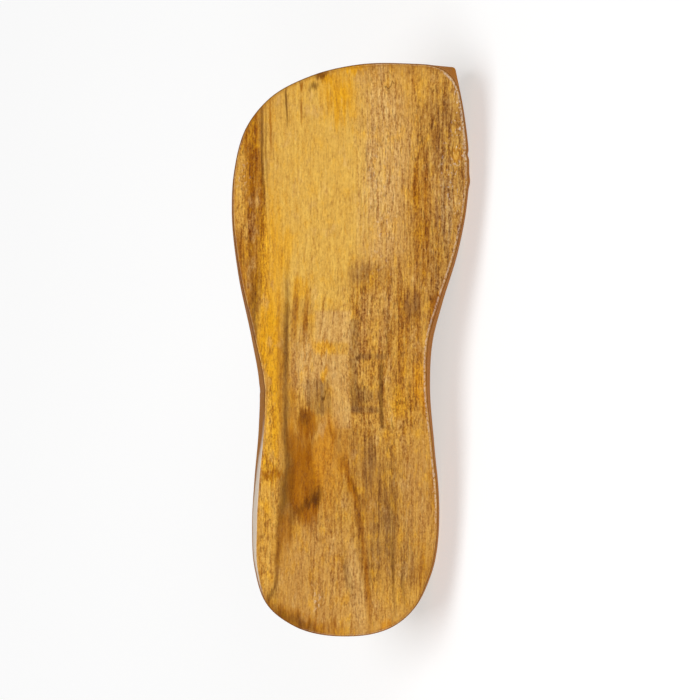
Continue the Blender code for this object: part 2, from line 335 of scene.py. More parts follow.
# %% Rows of the mortise and the foot bed
SEAT_RADIUS = 11.2
MORTISE_COLUMNS = ("place", "radius", "depth")
MORTISE = (
    ("middle of its floor", 0.02, 12.3),
    ("floor", 2.6, 12.3),
    ("foot of its wall", 5.3, 12.3),
    ("wall", 5.3, 6.3),
    ("mouth", 5.3, 0.0),
    ("seat", 8.2, 0.0),
    ("rim of the seat", SEAT_RADIUS, 0.0),
)
SEAT_EDGE_ROUND = 0.25
FOOT_BED_ROWS = 44


def with_height(loop, height):
    """Puts heights onto flat points."""
    return np.concatenate((loop, np.broadcast_to(height, loop.shape[:-1])[..., None]), axis=-1)


def circle_rows():
    """The mortise's floor and wall and the seat for the collar, from the middle outwards."""
    radius, depth = (column(MORTISE, MORTISE_COLUMNS, name) for name in MORTISE_COLUMNS[1:])
    circles = KNOB_PLACE + radius[:, None, None] * bed_bearing
    return with_height(circles, (knob_seat - depth)[:, None])


def foot_bed_rows():
    """Rows that change from the seat's circle into the rim, crowded at both ends."""
    inner = KNOB_PLACE + bed_bearing * (SEAT_RADIUS + SEAT_EDGE_ROUND)
    share = (1 - np.cos(np.linspace(0, np.pi, FOOT_BED_ROWS))) / 2
    flat = inner + share[:, None, None] * (bed_loop - inner)
    return with_height(flat, foot_bed_height(flat, bed_loop))

# %% Rows of the top edge and the wall
TOP_EDGE_ROWS = 7
WALL_ROWS = 14
TREAD_EDGE_ROUND = 1.0
TREAD_CORNER_ROUND = 14.0
WALL_COLUMNS = ("height", "set_in", "corner")
WALL = (
    (0.0, 1.0, 1.0),
    (0.26, 0.74, 0.94),
    (0.44, 0.56, 0.66),
    (0.6, 0.4, 0.26),
    (0.76, 0.24, 0.04),
    (1.0, 0.0, 0.0),
)
EDGE_WAVES, EDGE_WAVE_HEIGHT = 9, 0.09
SAW_WAVES, SAW_WAVE_HEIGHT = 14, 0.07
seed = np.random.default_rng(7)


def top_edge_rows():
    """A quarter round from the foot bed over to the wall."""
    angle = np.linspace(0, np.pi / 2, TOP_EDGE_ROWS + 1)[1:, None]
    flat = soft_loop + into_edge * (TOP_EDGE_ROUND * (1 - np.sin(angle)))[..., None]
    return with_height(flat, section("rim", edge_loop[:, 0]) - TOP_EDGE_ROUND * (1 - np.cos(angle)))


def wall_loop(height):
    """The wall's outline at a share of its height: set in by the table, its toe corner rounding off."""
    shares = column(WALL, WALL_COLUMNS, "height")
    set_in, corner = (column(WALL, WALL_COLUMNS, name) for name in WALL_COLUMNS[1:])
    in_share = cubic(shares, set_in, level_slopes(shares, set_in), np.array([height]))
    corner_share = cubic(shares, corner, level_slopes(shares, corner), np.array([height]))
    loop = edge_loop + into_edge * (tread_set_in * in_share)[:, None]
    loop = rounded_corner(loop, TREAD_CORNER_ROUND, corner_share)
    return rounded_corner(loop, TOP_CORNER_ROUND, height)


def slow_waves(angle, count, height):
    """A closed wavy line: a sum of cosines, each as high as height / the square root of its number."""
    waves = np.arange(2, 2 + count)
    phase = seed.uniform(0, 2 * np.pi, count)
    return height * (np.cos(angle[:, None] * waves + phase) / np.sqrt(waves)).sum(axis=1)


turn = np.arange(LOOP_POINTS) * 2 * np.pi / LOOP_POINTS
edge_round = TREAD_EDGE_ROUND + slow_waves(turn, EDGE_WAVES, EDGE_WAVE_HEIGHT)
saw_waver = slow_waves(turn, SAW_WAVES, SAW_WAVE_HEIGHT)


def wall_rows():
    """Rows down the wall from under the top edge to the top of the tread's eased edge."""
    low = edge_round
    high = section("rim", edge_loop[:, 0]) - TOP_EDGE_ROUND
    rows = []
    for share in np.linspace(1, 0, WALL_ROWS + 2)[1:]:
        bulge = 4 * share * (1 - share) * saw_waver
        loop = wall_loop(share) + into_edge * bulge[:, None]
        ground = section("tread", loop[:, 0])
        rows.append(with_height(loop, ground + low + share * (high - ground - low)))
    return np.array(rows)

# %% Rows of the tread
TREAD_EDGE_ROWS = 6
TREAD_ROWS = 52
TREAD_CROWDING = 1.25
LAST_RING_SHARE = 0.004
BROAD_WAVER, BROAD_LENGTH, BROAD_WIDTH, BROAD_PHASES = 0.035, 17.0, 9.0, (0.8, 2.1)
FINE_WAVER, FINE_LENGTH, FINE_WIDTH = 0.02, 6.3, 5.1
foot_loop = wall_loop(0.0)
into_tread = inward(foot_loop)


def tread_height(flat):
    """The side view's tread with a few hundredths of a millimetre of hand-planed waver in it."""
    x, y = flat[..., 0], flat[..., 1]
    along_wave = np.sin(x / BROAD_LENGTH + BROAD_PHASES[0])
    across_wave = np.sin(y / BROAD_WIDTH + BROAD_PHASES[1])
    fine = FINE_WAVER * np.sin(x / FINE_LENGTH + y / FINE_WIDTH)
    return section("tread", x) + BROAD_WAVER * along_wave * across_wave + fine


def tread_rows():
    """A quarter round at the edge of the tread, then rings that shrink to the tread's middle."""
    angle = np.linspace(0, np.pi / 2, TREAD_EDGE_ROWS + 1)[1:, None]
    flat = foot_loop + into_tread * (edge_round * (1 - np.cos(angle)))[..., None]
    rolled = with_height(flat, tread_height(flat) + edge_round * (1 - np.sin(angle)))
    share = 1 - np.linspace(0, 1, TREAD_ROWS + 1)[1:, None, None] ** TREAD_CROWDING
    share[-1] = LAST_RING_SHARE
    inside = CENTRE + share * (flat[-1] - CENTRE)
    return np.concatenate((rolled, with_height(inside, tread_height(inside))))

# %% The sole's grid, from the mortise to the middle of the tread
parts = {"mortise": circle_rows(), "bed": foot_bed_rows(), "top edge": top_edge_rows(),
         "wall": wall_rows(), "tread": tread_rows()}
sole_grid = np.concatenate(list(parts.values()))
print("sole grid", sole_grid.shape, {name: len(rows) for name, rows in parts.items()})

# %% [markdown]
# ## From a grid to a closed mesh
#
# The grid closes on itself round the outline, and a fan of triangles closes each end. Numpy writes all the
# faces at once. The surface also carries a few values for the wood: how near a point is to a worn edge, to
# the rim line of the tread, where paint stands partly for wear and partly for a highlight, and to the
# tread's very edge, which is darkened as painted shade, and whether it is on the wall that was sawn.

# %% Make closed meshes from grids
def wrapped(name, grid, values):
    """A closed mesh of a grid of rows, each row closed on itself, with a value per point for each name."""
    rows, count = grid.shape[:2]
    points = np.concatenate((grid.reshape(-1, 3), grid[[0, -1]].mean(axis=1)))
    here = np.arange(count)
    following = np.roll(here, -1)
    low = (np.arange(rows - 1) * count)[:, None]
    quads = np.stack((low + here, low + following, low + count + following, low + count + here), axis=-1)
    first = np.column_stack((following, here, np.full(count, rows * count)))
    last = (rows - 1) * count + np.column_stack((here, following, np.full(count, count + 1)))
    mesh = bpy.data.meshes.new(name)
    mesh.from_pydata(points.tolist(), [], quads.reshape(-1, 4).tolist() + first.tolist() + last.tolist())
    for value_name, value in values.items():
        spread = np.broadcast_to(value, (rows, count))
        carried = np.concatenate((spread.ravel(), spread[[0, -1]].mean(axis=1))).astype(np.float32)
        mesh.attributes.new(value_name, "FLOAT", "POINT").data.foreach_set("value", carried)
    made = bpy.data.objects.new(name, mesh)
    bpy.context.scene.collection.objects.link(made)
    return made


def pointing_out(made):
    """Turns the faces round if the volume they enclose comes out negative."""
    mesh = made.data
    points = np.array([vertex.co for vertex in mesh.vertices])
    mesh.calc_loop_triangles()
    corners = points[np.array([triangle.vertices for triangle in mesh.loop_triangles])]
    volume = np.einsum("ij,ij->i", corners[:, 0], np.cross(corners[:, 1], corners[:, 2])).sum() / 6
    if volume < 0:
        mesh.flip_normals()
    print(made.name, "holds", round(abs(float(volume)) * 1e6, 1), "cm3 in", len(corners), "triangles")
    return made

# %% The sole block
def bell(places, centre, width):
    """One at the centre, falling off on both sides as exp(-((place - centre) / width)^2)."""
    return np.exp(-((places - centre) / width) ** 2)


RIM_LINE = 1.15
RIM_WIDTH = 0.36
BRINK_WIDTH = 0.6
WORN_EDGE_ROWS = 3.5
SOLE_SHARP_ANGLE = 38
row_number = np.arange(len(sole_grid), dtype=float)
ends = np.cumsum([len(rows) for rows in parts.values()])
top_edge_row = ends[1] + TOP_EDGE_ROWS / 2
on_wall = ((row_number >= ends[2] - 1) & (row_number < ends[3] + TREAD_EDGE_ROWS / 2)).astype(float)[:, None]
worn_top = bell(row_number, top_edge_row, WORN_EDGE_ROWS)[:, None]
from_edge = np.linalg.norm(sole_grid[..., :2] - foot_loop, axis=-1)
# The rim line, a millimetre in from the tread's edge, takes a russet line and, where the table below says,
# cream that is partly wear and partly a painted highlight.
tread_rim_line = bell(from_edge, RIM_LINE, RIM_WIDTH) * (row_number >= ends[3])[:, None]
# The tread's very edge is darkened in the colour below: painted shade where the tread turns from the light
# into the wall.
brink_shade = bell(from_edge, 0.0, BRINK_WIDTH) * (row_number >= ends[3] - 1)[:, None]
sole_values = {"edge": worn_top, "rim": tread_rim_line, "brink_shade": brink_shade, "wall": on_wall}
sole = pointing_out(wrapped("sole_block", laid(sole_grid), sole_values))
sole.data.shade_smooth()
sole.data.set_sharp_from_angle(angle=np.radians(SOLE_SHARP_ANGLE))
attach(sole, "root")
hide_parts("sole")

# %% [markdown]
# ## The toe knob
#
# The knob comes off a lathe: a tenon for the mortise, a collar that sits on the foot bed, a slim stem for
# the toes to hold, and a mushroom head that keeps the sandal on. A turned shape is a profile carried round
# an axis, so it is the same kind of grid as the sole, with circles for rows.

# %% Turn the knob
FIT_GAP = 0.3
TENON_RADIUS = 5.0
TENON_LENGTH = 12.0
TENON_CHAMFER = 0.8
KNOB_COLUMNS = ("place", "radius", "height")
COLLAR = (("collar foot", 10.4, 0.0), ("collar bottom", 10.9, 0.6), ("collar top", 10.9, 2.3))
STEM_AND_HEAD = (
    ("collar shoulder", 10.3, 3.1),
    ("cove foot", 7.9, 5.4),
    ("cove", 6.3, 9.6),
    ("stem", 5.7, 16.0),
    ("stem top", 6.3, 22.6),
    ("head throat", 8.6, 27.2),
    ("head underside", 12.6, 29.8),
    ("head lip", 15.6, 32.6),
    ("head rim", 16.0, 35.0),
    ("crown shoulder", 14.2, 39.0),
    ("crown", 9.6, 42.2),
    ("crown top", 4.4, 43.8),
)
KNOB_TOP = 44.2
KNOB_STEPS = 128
STEM_ROWS = 110
AXIS_RADIUS = 0.02
RUBBED_COLUMNS = ("place", "height", "width")
RUBBED = (("head lip", 34.4, 3.0), ("collar top", 2.4, 1.1))
KNOB_SHARP_ANGLE = 42


def knob_profile():
    """Radius and height from the tenon's end to the crown: straight runs, then one smooth cubic."""
    tenon = np.array(((AXIS_RADIUS, -TENON_LENGTH), (TENON_RADIUS - TENON_CHAMFER, -TENON_LENGTH),
                      (TENON_RADIUS, -TENON_LENGTH + TENON_CHAMFER), (TENON_RADIUS, FIT_GAP)))
    collar = np.column_stack([column(COLLAR, KNOB_COLUMNS, name) for name in KNOB_COLUMNS[1:]])
    radius = np.append(column(STEM_AND_HEAD, KNOB_COLUMNS, "radius"), AXIS_RADIUS)
    height = np.append(column(STEM_AND_HEAD, KNOB_COLUMNS, "height"), KNOB_TOP)
    knots = np.concatenate(([0.0], np.cumsum(np.hypot(np.diff(radius), np.diff(height)))))
    at = np.linspace(0, knots[-1], STEM_ROWS)
    curve = np.column_stack([cubic(knots, v, np.gradient(v, knots), at) for v in (radius, height)])
    above = np.concatenate((collar, curve)) + (0.0, FIT_GAP)
    return np.concatenate((tenon, above))


profile = knob_profile()
spin = np.arange(KNOB_STEPS) * 2 * np.pi / KNOB_STEPS
circle = np.column_stack((np.cos(spin), -np.sin(spin)))
knob_flat = KNOB_PLACE + profile[:, None, :1] * circle
knob_grid = with_height(knob_flat, profile[:, 1:] + knob_seat)
rubbed_heights, rubbed_widths = (column(RUBBED, RUBBED_COLUMNS, name) for name in RUBBED_COLUMNS[1:])
handled = bell(profile[:, 1:], rubbed_heights, rubbed_widths).max(axis=1)[:, None]
knob = pointing_out(wrapped("turned_knob", laid(knob_grid), {"edge": handled}))
knob.data.shade_smooth()
knob.data.set_sharp_from_angle(angle=np.radians(KNOB_SHARP_ANGLE))
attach(knob, "root")
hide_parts("toe_knob")

# %% [markdown]
# ## Short ways to write a shader
#
# A shader is a drawing of boxes and wires. Written out, each box takes several lines, so a few helpers keep
# the wood readable: one makes a box and fills its sockets, one does sums, one turns a range into a soft
# step, one lays a colour over another, and one makes a group, which is a drawing to be used again.

# %% Helpers for nodes
MIX_SHARE, MIX_UNDER, MIX_OVER, MIX_COLOUR = 0, 6, 7, 2


def fill(tree, node, inputs):
    """Gives each input of a node, by its name or number, a wire or a plain value."""
    for name, value in inputs.items():
        if isinstance(value, bpy.types.NodeSocket):
            tree.links.new(value, node.inputs[name])
        else:
            node.inputs[name].default_value = value
    return node


def box(tree, kind, inputs=None, **settings):
    """Adds a node, sets its settings and fills its inputs."""
    made = tree.nodes.new("ShaderNode" + kind)
    for name, value in settings.items():
        setattr(made, name, value)
    return fill(tree, made, inputs or {})


def sum_of(tree, operation, first, second=0.0, third=0.0):
    """One sum on numbers."""
    return box(tree, "Math", {0: first, 1: second, 2: third}, operation=operation).outputs[0]


def product(tree, first, second):
    """One number times another."""
    return sum_of(tree, "MULTIPLY", first, second)


def soft_step(tree, value, low, high, to_low=0.0, to_high=1.0):
    """Goes from to_low to to_high, eased at both ends, while the value goes from low to high."""
    ranged = box(tree, "MapRange", {"Value": value, "From Min": low, "From Max": high,
                                    "To Min": to_low, "To Max": to_high}, interpolation_type="SMOOTHSTEP")
    return ranged.outputs["Result"]


def laid_over(tree, under, over, share, blend="MIX"):
    """A colour laid over another: under x (1 - share) + over x share, or a product of the two."""
    colours = {MIX_SHARE: share, MIX_UNDER: under, MIX_OVER: over}
    return box(tree, "Mix", colours, data_type="RGBA", blend_type=blend).outputs[MIX_COLOUR]


def stretched(tree, vector, lengths):
    """Divides a place by three lengths, so that a pattern of size one gets those lengths."""
    scale = tuple(1 / length for length in lengths)
    return box(tree, "VectorMath", {0: vector, 1: scale}, operation="MULTIPLY").outputs[0]


def noise(tree, vector, detail=2.0, roughness=0.5):
    """Perlin noise of size one, from nought to one around a half."""
    sizes = {"Vector": vector, "Scale": 1.0, "Detail": detail, "Roughness": roughness}
    return box(tree, "TexNoise", sizes).outputs["Fac"]


def group(name, inputs, outputs):
    """A node group with named sockets: its tree, what comes in and the node that gives out."""
    tree = bpy.data.node_groups.new(name, "ShaderNodeTree")
    for socket, kind, value in inputs:
        made = tree.interface.new_socket(socket, in_out="INPUT", socket_type="NodeSocket" + kind)
        if value is not None:
            made.default_value = value
    for socket, kind in outputs:
        tree.interface.new_socket(socket, in_out="OUTPUT", socket_type="NodeSocket" + kind)
    return tree, tree.nodes.new("NodeGroupInput").outputs, tree.nodes.new("NodeGroupOutput")


def use(tree, name, inputs):
    """Places a group in a tree, fills its inputs and returns its outputs."""
    return box(tree, "Group", inputs, node_tree=bpy.data.node_groups[name]).outputs

# %% [markdown]
# ## Grain
#
# Wood is a bundle of fibres. Everything in it is long in one direction and narrow in the other two, so each
# layer of the grain is plain noise that is stretched along the fibres: broad streaks a few millimetres wide,
# darker ring lines about a millimetre wide, fine fibre, and the open pores, which show as short dark dashes.
# A slow sideways wander keeps the layers from running dead straight.

# %% The grain group
GRAIN_COLUMNS = ("layer", "lengths", "detail", "roughness")
GRAIN_LAYERS = (
    ("Streaks", (40.0, 2.6, 9.0), 3.0, 0.6),
    ("Threads", (8.0, 1.9, 3.0), 2.0, 0.65),
    ("Lines", (22.0, 0.95, 2.0), 2.0, 0.6),
    ("Fibre", (2.6, 0.8, 1.0), 2.0, 0.65),
    ("Mottle", (1.0, 0.85, 0.9), 2.0, 0.7),
)
WANDER_LENGTHS = (95.0, 24.0, 24.0)
PORE_LENGTHS = (1.0, 0.7, 0.9)
PORES_FROM, PORES_TO = 0.57, 0.69


def make_grain():
    """Places in millimetres with the fibres along x go in. Layers of noise come out, all around a half."""
    tree, given, out = group(
        "grain",
        (("Place", "Vector", None), ("Wander", "Float", 3.0), ("Pore Length", "Float", 2.8)),
        (*((row[0], "Float") for row in GRAIN_LAYERS), ("Pores", "Float"), ("Place", "Vector")),
    )
    slow = noise(tree, stretched(tree, given["Place"], WANDER_LENGTHS), detail=1.0)
    sway = product(tree, sum_of(tree, "SUBTRACT", slow, 0.5), given["Wander"])
    shift = box(tree, "CombineXYZ", {"Y": sway, "Z": sway}).outputs[0]
    place = box(tree, "VectorMath", {0: given["Place"], 1: shift}, operation="ADD").outputs[0]
    for row in GRAIN_LAYERS:
        layer = dict(zip(GRAIN_COLUMNS, row))
        spread = stretched(tree, place, layer["lengths"])
        value = noise(tree, spread, detail=layer["detail"], roughness=layer["roughness"])
        fill(tree, out, {layer["layer"]: value})
    short = box(tree, "SeparateXYZ", {0: stretched(tree, place, PORE_LENGTHS)}).outputs
    length = sum_of(tree, "DIVIDE", short["X"], given["Pore Length"])
    dash = box(tree, "CombineXYZ", {"X": length, "Y": short["Y"], "Z": short["Z"]}).outputs[0]
    pores = noise(tree, dash, detail=1.0, roughness=0.4)
    fill(tree, out, {"Pores": soft_step(tree, pores, PORES_FROM, PORES_TO), "Place": place})


make_grain()
print("grain gives", [row[0] for row in GRAIN_LAYERS], "and pores")

# %% [markdown]
# ## Stains and figure
#
# Noise makes wood, but not this piece of wood. Its figure is set one by one: a pale heart under the ball of
# the foot, a dark flame in the heel, a yellow strip of sapwood down the outer side. Each mark is a soft
# ellipse laid over the ground. Noise along the fibres tears its rim, and a mark can be broken into streaks,
# the way that a stain follows the open fibres. A few patches of the waist have straight sides, so they are
# blocks.
# Tables list marks and blocks in the sole's millimetres and degrees, from the first layer to the last. The
# regions have no tone: they only say where the wood is coarse, where glints are painted as pale spots, where
# the rim line is painted cream for wear and a painted highlight, and where the outer heel wall carries a
# painted reflection.

# %% The ragged place, the mark and the block
FINGER_LENGTHS = (24.0, 1.5, 6.0)
SIDE_LENGTHS = (17.0, 7.0, 9.0)


def make_ragged():
    """Shifts places so that a mark's ends come out as fingers along the fibres and its sides gently wavy."""
    tree, given, out = group(
        "ragged",
        (("Place", "Vector", None), ("Tear Along", "Float", 12.0), ("Tear Across", "Float", 3.0)),
        (("X", "Float"), ("Y", "Float")),
    )
    parted = box(tree, "SeparateXYZ", {0: given["Place"]}).outputs
    fingers = noise(tree, stretched(tree, given["Place"], FINGER_LENGTHS), detail=2.0, roughness=0.6)
    sides = noise(tree, stretched(tree, given["Place"], SIDE_LENGTHS), detail=3.0, roughness=0.6)
    x = sum_of(tree, "MULTIPLY_ADD", sum_of(tree, "SUBTRACT", fingers, 0.5), given["Tear Along"], parted["X"])
    y = sum_of(tree, "MULTIPLY_ADD", sum_of(tree, "SUBTRACT", sides, 0.5), given["Tear Across"], parted["Y"])
    fill(tree, out, {"X": x, "Y": y})


def broken_mask(tree, given, inside):
    """A mask with gaps where the streaks are: inside x (1 - streaks x broken)."""
    gaps = product(tree, given["Streaks"], given["Broken"])
    return product(tree, inside, sum_of(tree, "SUBTRACT", 1.0, gaps))


def make_mark():
    """One inside a turned ellipse, falling to nought over its soft rim, and broken by streaks.

    With x and y turned into the ellipse's own axes, the reach of a point is the square root of
    (2x / length)^2 + (2y / width)^2, so it is one on the rim. Streaks add half of broken to it.
    """
    tree, given, out = group(
        "mark",
        (("X", "Float", 0.0), ("Y", "Float", 0.0), ("Streaks", "Float", 0.5), ("Along", "Float", 0.0),
         ("Across", "Float", 0.0), ("Length", "Float", 10.0), ("Width", "Float", 5.0), ("Turn", "Float", 0.0),
         ("Softness", "Float", 0.5), ("Broken", "Float", 0.0)),
        (("Mask", "Float"),),
    )
    radians = sum_of(tree, "RADIANS", given["Turn"])
    cosine, sine = sum_of(tree, "COSINE", radians), sum_of(tree, "SINE", radians)
    length, width = (sum_of(tree, "DIVIDE", 2.0, given[size]) for size in ("Length", "Width"))
    x = sum_of(tree, "SUBTRACT", given["X"], given["Along"])
    y = sum_of(tree, "SUBTRACT", given["Y"], given["Across"])
    along_axis = sum_of(tree, "MULTIPLY_ADD", y, sine, product(tree, x, cosine))
    across_axis = sum_of(tree, "SUBTRACT", product(tree, y, cosine), product(tree, x, sine))
    along_share = product(tree, along_axis, length)
    across_share = product(tree, across_axis, width)
    across_square = product(tree, across_share, across_share)
    reach = sum_of(tree, "SQRT", sum_of(tree, "MULTIPLY_ADD", along_share, along_share, across_square))
    half_streaks = product(tree, given["Streaks"], 0.5)
    reach = sum_of(tree, "MULTIPLY_ADD", half_streaks, given["Broken"], reach)
    inner = sum_of(tree, "SUBTRACT", 1.0, given["Softness"])
    outer = sum_of(tree, "ADD", 1.0, given["Softness"])
    fill(tree, out, {"Mask": broken_mask(tree, given, soft_step(tree, reach, outer, inner))})


def make_block():
    """One inside a straight-sided patch, falling to nought over its soft sides, and broken by streaks.

    Both ways, the distance to the nearest side / softness goes from -1/2 to 1/2 over a soft side.
    """
    tree, given, out = group(
        "block",
        (("X", "Float", 0.0), ("Y", "Float", 0.0), ("Streaks", "Float", 0.5), ("From", "Float", 0.0),
         ("To", "Float", 10.0), ("Left", "Float", 0.0), ("Right", "Float", 10.0), ("Softness", "Float", 0.5),
         ("Broken", "Float", 0.0)),
        (("Mask", "Float"),),
    )
    inside = 1.0
    for place, low, high in (("X", "From", "To"), ("Y", "Left", "Right")):
        above = sum_of(tree, "SUBTRACT", given[place], given[low])
        below = sum_of(tree, "SUBTRACT", given[high], given[place])
        nearest = sum_of(tree, "DIVIDE", sum_of(tree, "MINIMUM", above, below), given["Softness"])
        inside = product(tree, inside, soft_step(tree, nearest, -0.5, 0.5))
    fill(tree, out, {"Mask": broken_mask(tree, given, inside)})


for make in (make_ragged, make_mark, make_block):
    make()
print("groups", [made.name for made in bpy.data.node_groups])

# %% The tones of the wood
LIGHT_ON_WOOD = 1.055
GLOSS_VEIL = 0.008
LEAST_TONE = 0.0005


def tone(red, green, blue):
    """A colour as the eye sees it on the wood, 0 to 255, less the veil of gloss and divided by the light.

    The screen's own curve turns what is shown into light: ((shown + 0.055) / 1.055)^2.4, and straight
    near nought.
    """
    shown = np.array((red, green, blue)) / 255
    light = np.where(shown <= 0.04045, shown / 12.92, ((shown + 0.055) / 1.055) ** 2.4)
    base = np.clip((light - GLOSS_VEIL) / LIGHT_ON_WOOD, LEAST_TONE, 1.0)
    return (*base.tolist(), 1.0)


TONES = {
    "straw": tone(224, 175, 82),
    "honey": tone(213, 157, 70),
    "sapwood": tone(226, 160, 34),
    "amber": tone(214, 140, 12),
    "tan": tone(212, 166, 102),
    "oak": tone(184, 131, 60),
    "russet": tone(162, 97, 10),
    "umber": tone(96, 56, 6),
    "plum": tone(132, 94, 58),
    "biscuit": tone(196, 143, 74),
    "ginger": tone(203, 136, 44),
    "cream": tone(240, 224, 204),
}

# %% The marks on the tread
MARK_COLUMNS = ("place", "along", "across", "length", "width", "turn", "softness", "broken", "tone", "share")
COLUMNS = {
    "mark": MARK_COLUMNS,
    "region": tuple(name for name in MARK_COLUMNS if name != "tone"),
    "block": ("place", "from", "to", "left", "right", "softness", "broken", "tone", "share"),
}
TREAD_MARKS = (
    ("straw heart", 205, -14, 125, 54, 2, 0.35, 0.1, "straw", 0.95),
    ("straw behind the heart", 170, -22, 60, 34, 3, 0.5, 0.3, "straw", 0.8),
    ("tan of the middle toe", 214, 16, 110, 26, 0, 0.5, 0.4, "tan", 0.85),
    ("brown of the inner forefoot", 205, 44, 160, 34, 3, 0.35, 0.35, "oak", 0.95),
    ("brown of the inner ball", 186, 36, 90, 26, 6, 0.5, 0.5, "oak", 0.8),
    ("russet of the inner ball", 192, 36, 84, 12, 4, 0.6, 0.8, "russet", 0.75),
    ("plum at the inner toe", 233, 43, 48, 22, 3, 0.6, 0.5, "plum", 0.4),
    ("plum at the inner ball", 186, 42, 66, 12, 6, 0.6, 0.7, "plum", 0.7),
    ("dark patch at the inner ball", 207, 30, 18, 9, 0, 0.6, 0.5, "russet", 0.8),
    ("inner toe rim", 256, 30, 16, 44, 0, 0.5, 0.4, "honey", 0.55),
    ("inner toe rim, brown", 261, 28, 6, 48, 0, 0.6, 0.4, "oak", 0.8),
    ("pale streak at the toe", 258, 13.5, 14, 4, 0, 0.6, 0.3, "tan", 0.7),
    ("orange at the toe", 251, -5, 18, 14, 10, 0.5, 0.25, "sapwood", 0.7),
    ("orange at the toe rim", 262, 1, 4, 14, 0, 0.4, 0.2, "sapwood", 0.8),
    ("orange in the heart", 243, -6, 16, 14, 0, 0.7, 0.6, "sapwood", 0.8),
    ("knot's trail", 257.5, -12, 5, 8, 20, 0.5, 0.3, "russet", 0.9),
    ("ring knot", 221, 48.3, 5, 7, 0, 0.4, 0.0, "russet", 0.85),
    ("ring knot, middle", 221, 48.3, 2.4, 3.4, 0, 0.5, 0.0, "honey", 0.7),
    ("outer edge", 213, -51.5, 70, 8, -2, 0.4, 0.3, "honey", 0.9),
    ("outer brown band", 208, -44.6, 100, 9.4, -2, 0.3, 0.2, "russet", 0.95),
    ("outer brown band, dark", 190, -44.2, 78, 5.0, -3, 0.5, 0.35, "umber", 0.15),
    ("outer brown band, edge", 168, -48, 36, 9, -9, 0.35, 0.2, "russet", 0.75),
    ("outer brown band, shade", 168, -45.6, 30, 2.6, -3, 0.6, 0.2, "umber", 0.4),
    ("outer brown band, end", 146, -44, 46, 5, 4, 0.5, 0.3, "umber", 0.6),
    ("yellow strip, front", 168, -37, 70, 11, 1, 0.5, 0.3, "sapwood", 0.75),
    ("yellow strip", 112, -37.4, 90, 13.6, 2, 0.25, 0.15, "sapwood", 0.95),
    ("yellow strip, bright", 96, -38, 34, 5, 0, 0.6, 0.3, "straw", 0.4),
    ("yellow strip, shade", 118, -32, 56, 3.4, 0, 0.6, 0.4, "russet", 0.5),
    ("amber streak", 174, -30, 18, 5, 0, 0.6, 0.3, "sapwood", 0.6),
    ("brown column", 146, -23, 34, 14, 0, 0.5, 0.5, "oak", 0.65),
    ("brown column, threads", 148, -22, 30, 9, 0, 0.5, 0.8, "russet", 0.6),
    ("orange patch, front", 160, -23, 10, 8, 0, 0.6, 0.2, "sapwood", 0.7),
    ("dark blotch", 166, 8.5, 13, 21, 4, 0.45, 0.2, "oak", 0.8),
    ("dark blotch, heart", 166.5, 7, 10, 15, 4, 0.5, 0.3, "plum", 0.5),
    ("brown of the waist", 138, 18, 66, 38, 0, 0.3, 0.4, "oak", 0.9),
    ("russet of the waist", 142, 16, 44, 28, 0, 0.5, 0.85, "russet", 0.55),
    ("dark patch of the waist", 152, 27, 15, 9, 0, 0.6, 0.4, "russet", 0.8),
    ("inner waist edge, brown", 153, 40, 16, 6, 16, 0.4, 0.2, "russet", 0.9),
    ("orange patches, waist", 134, -14, 7, 16, 20, 0.5, 0.3, "sapwood", 0.6),
    ("tan of the waist", 124, -17, 26, 22, 0, 0.35, 0.3, "tan", 0.8),
    ("amber streaks", 110, 25, 60, 18, 0, 0.5, 0.6, "honey", 0.6),
    ("russet streaks", 114, 24, 60, 17, 0, 0.5, 0.6, "russet", 0.5),
    ("golden inner edge", 106, 35, 70, 7, -1, 0.5, 0.3, "honey", 0.85),
    ("orange inner edge", 118, 33, 46, 6.5, 0, 0.5, 0.35, "russet", 0.6),
    ("heel ground", 62, 8, 90, 62, 0, 0.3, 0.35, "oak", 0.8),
    ("heel, golden", 28, -15, 50, 36, 0, 0.4, 0.2, "biscuit", 0.9),
    ("heel, inner amber", 64, 30, 60, 15, 0, 0.5, 0.45, "biscuit", 0.9),
    ("heel, dark middle", 68, 6, 44, 17, -4, 0.5, 0.45, "russet", 0.55),
    ("heel, threads", 58, 12, 70, 26, 0, 0.5, 0.9, "umber", 0.3),
    ("heel, plum", 48, 14, 36, 13, 0, 0.6, 0.5, "plum", 0.5),
    ("heel end, biscuit", 8, 4, 26, 44, 0, 0.5, 0.3, "biscuit", 0.6),
    ("brown right of the flame", 84, 7, 36, 14, 0, 0.4, 0.5, "oak", 0.75),
    ("sapwood, heel end", 48, -38.5, 54, 9, -2, 0.4, 0.25, "honey", 0.9),
    ("sapwood, yellow spot", 58.5, -39.5, 10, 5, 0, 0.7, 0.2, "sapwood", 0.7),
    ("cross band of the strip", 75, -36.5, 5, 13, 0, 0.4, 0.1, "russet", 0.9),
    ("rim of the outer heel", 9, -27, 10, 34, 28, 0.5, 0.25, "russet", 0.85),
    ("rim of the heel's end", 4, -8, 7, 20, 4, 0.6, 0.3, "russet", 0.7),
    ("dark at the inner heel", 30, 33, 15, 9, 0, 0.7, 0.5, "russet", 0.7),
    ("orange heel rim", 5, 17, 5, 9, 30, 0.6, 0.1, "amber", 0.7),
)

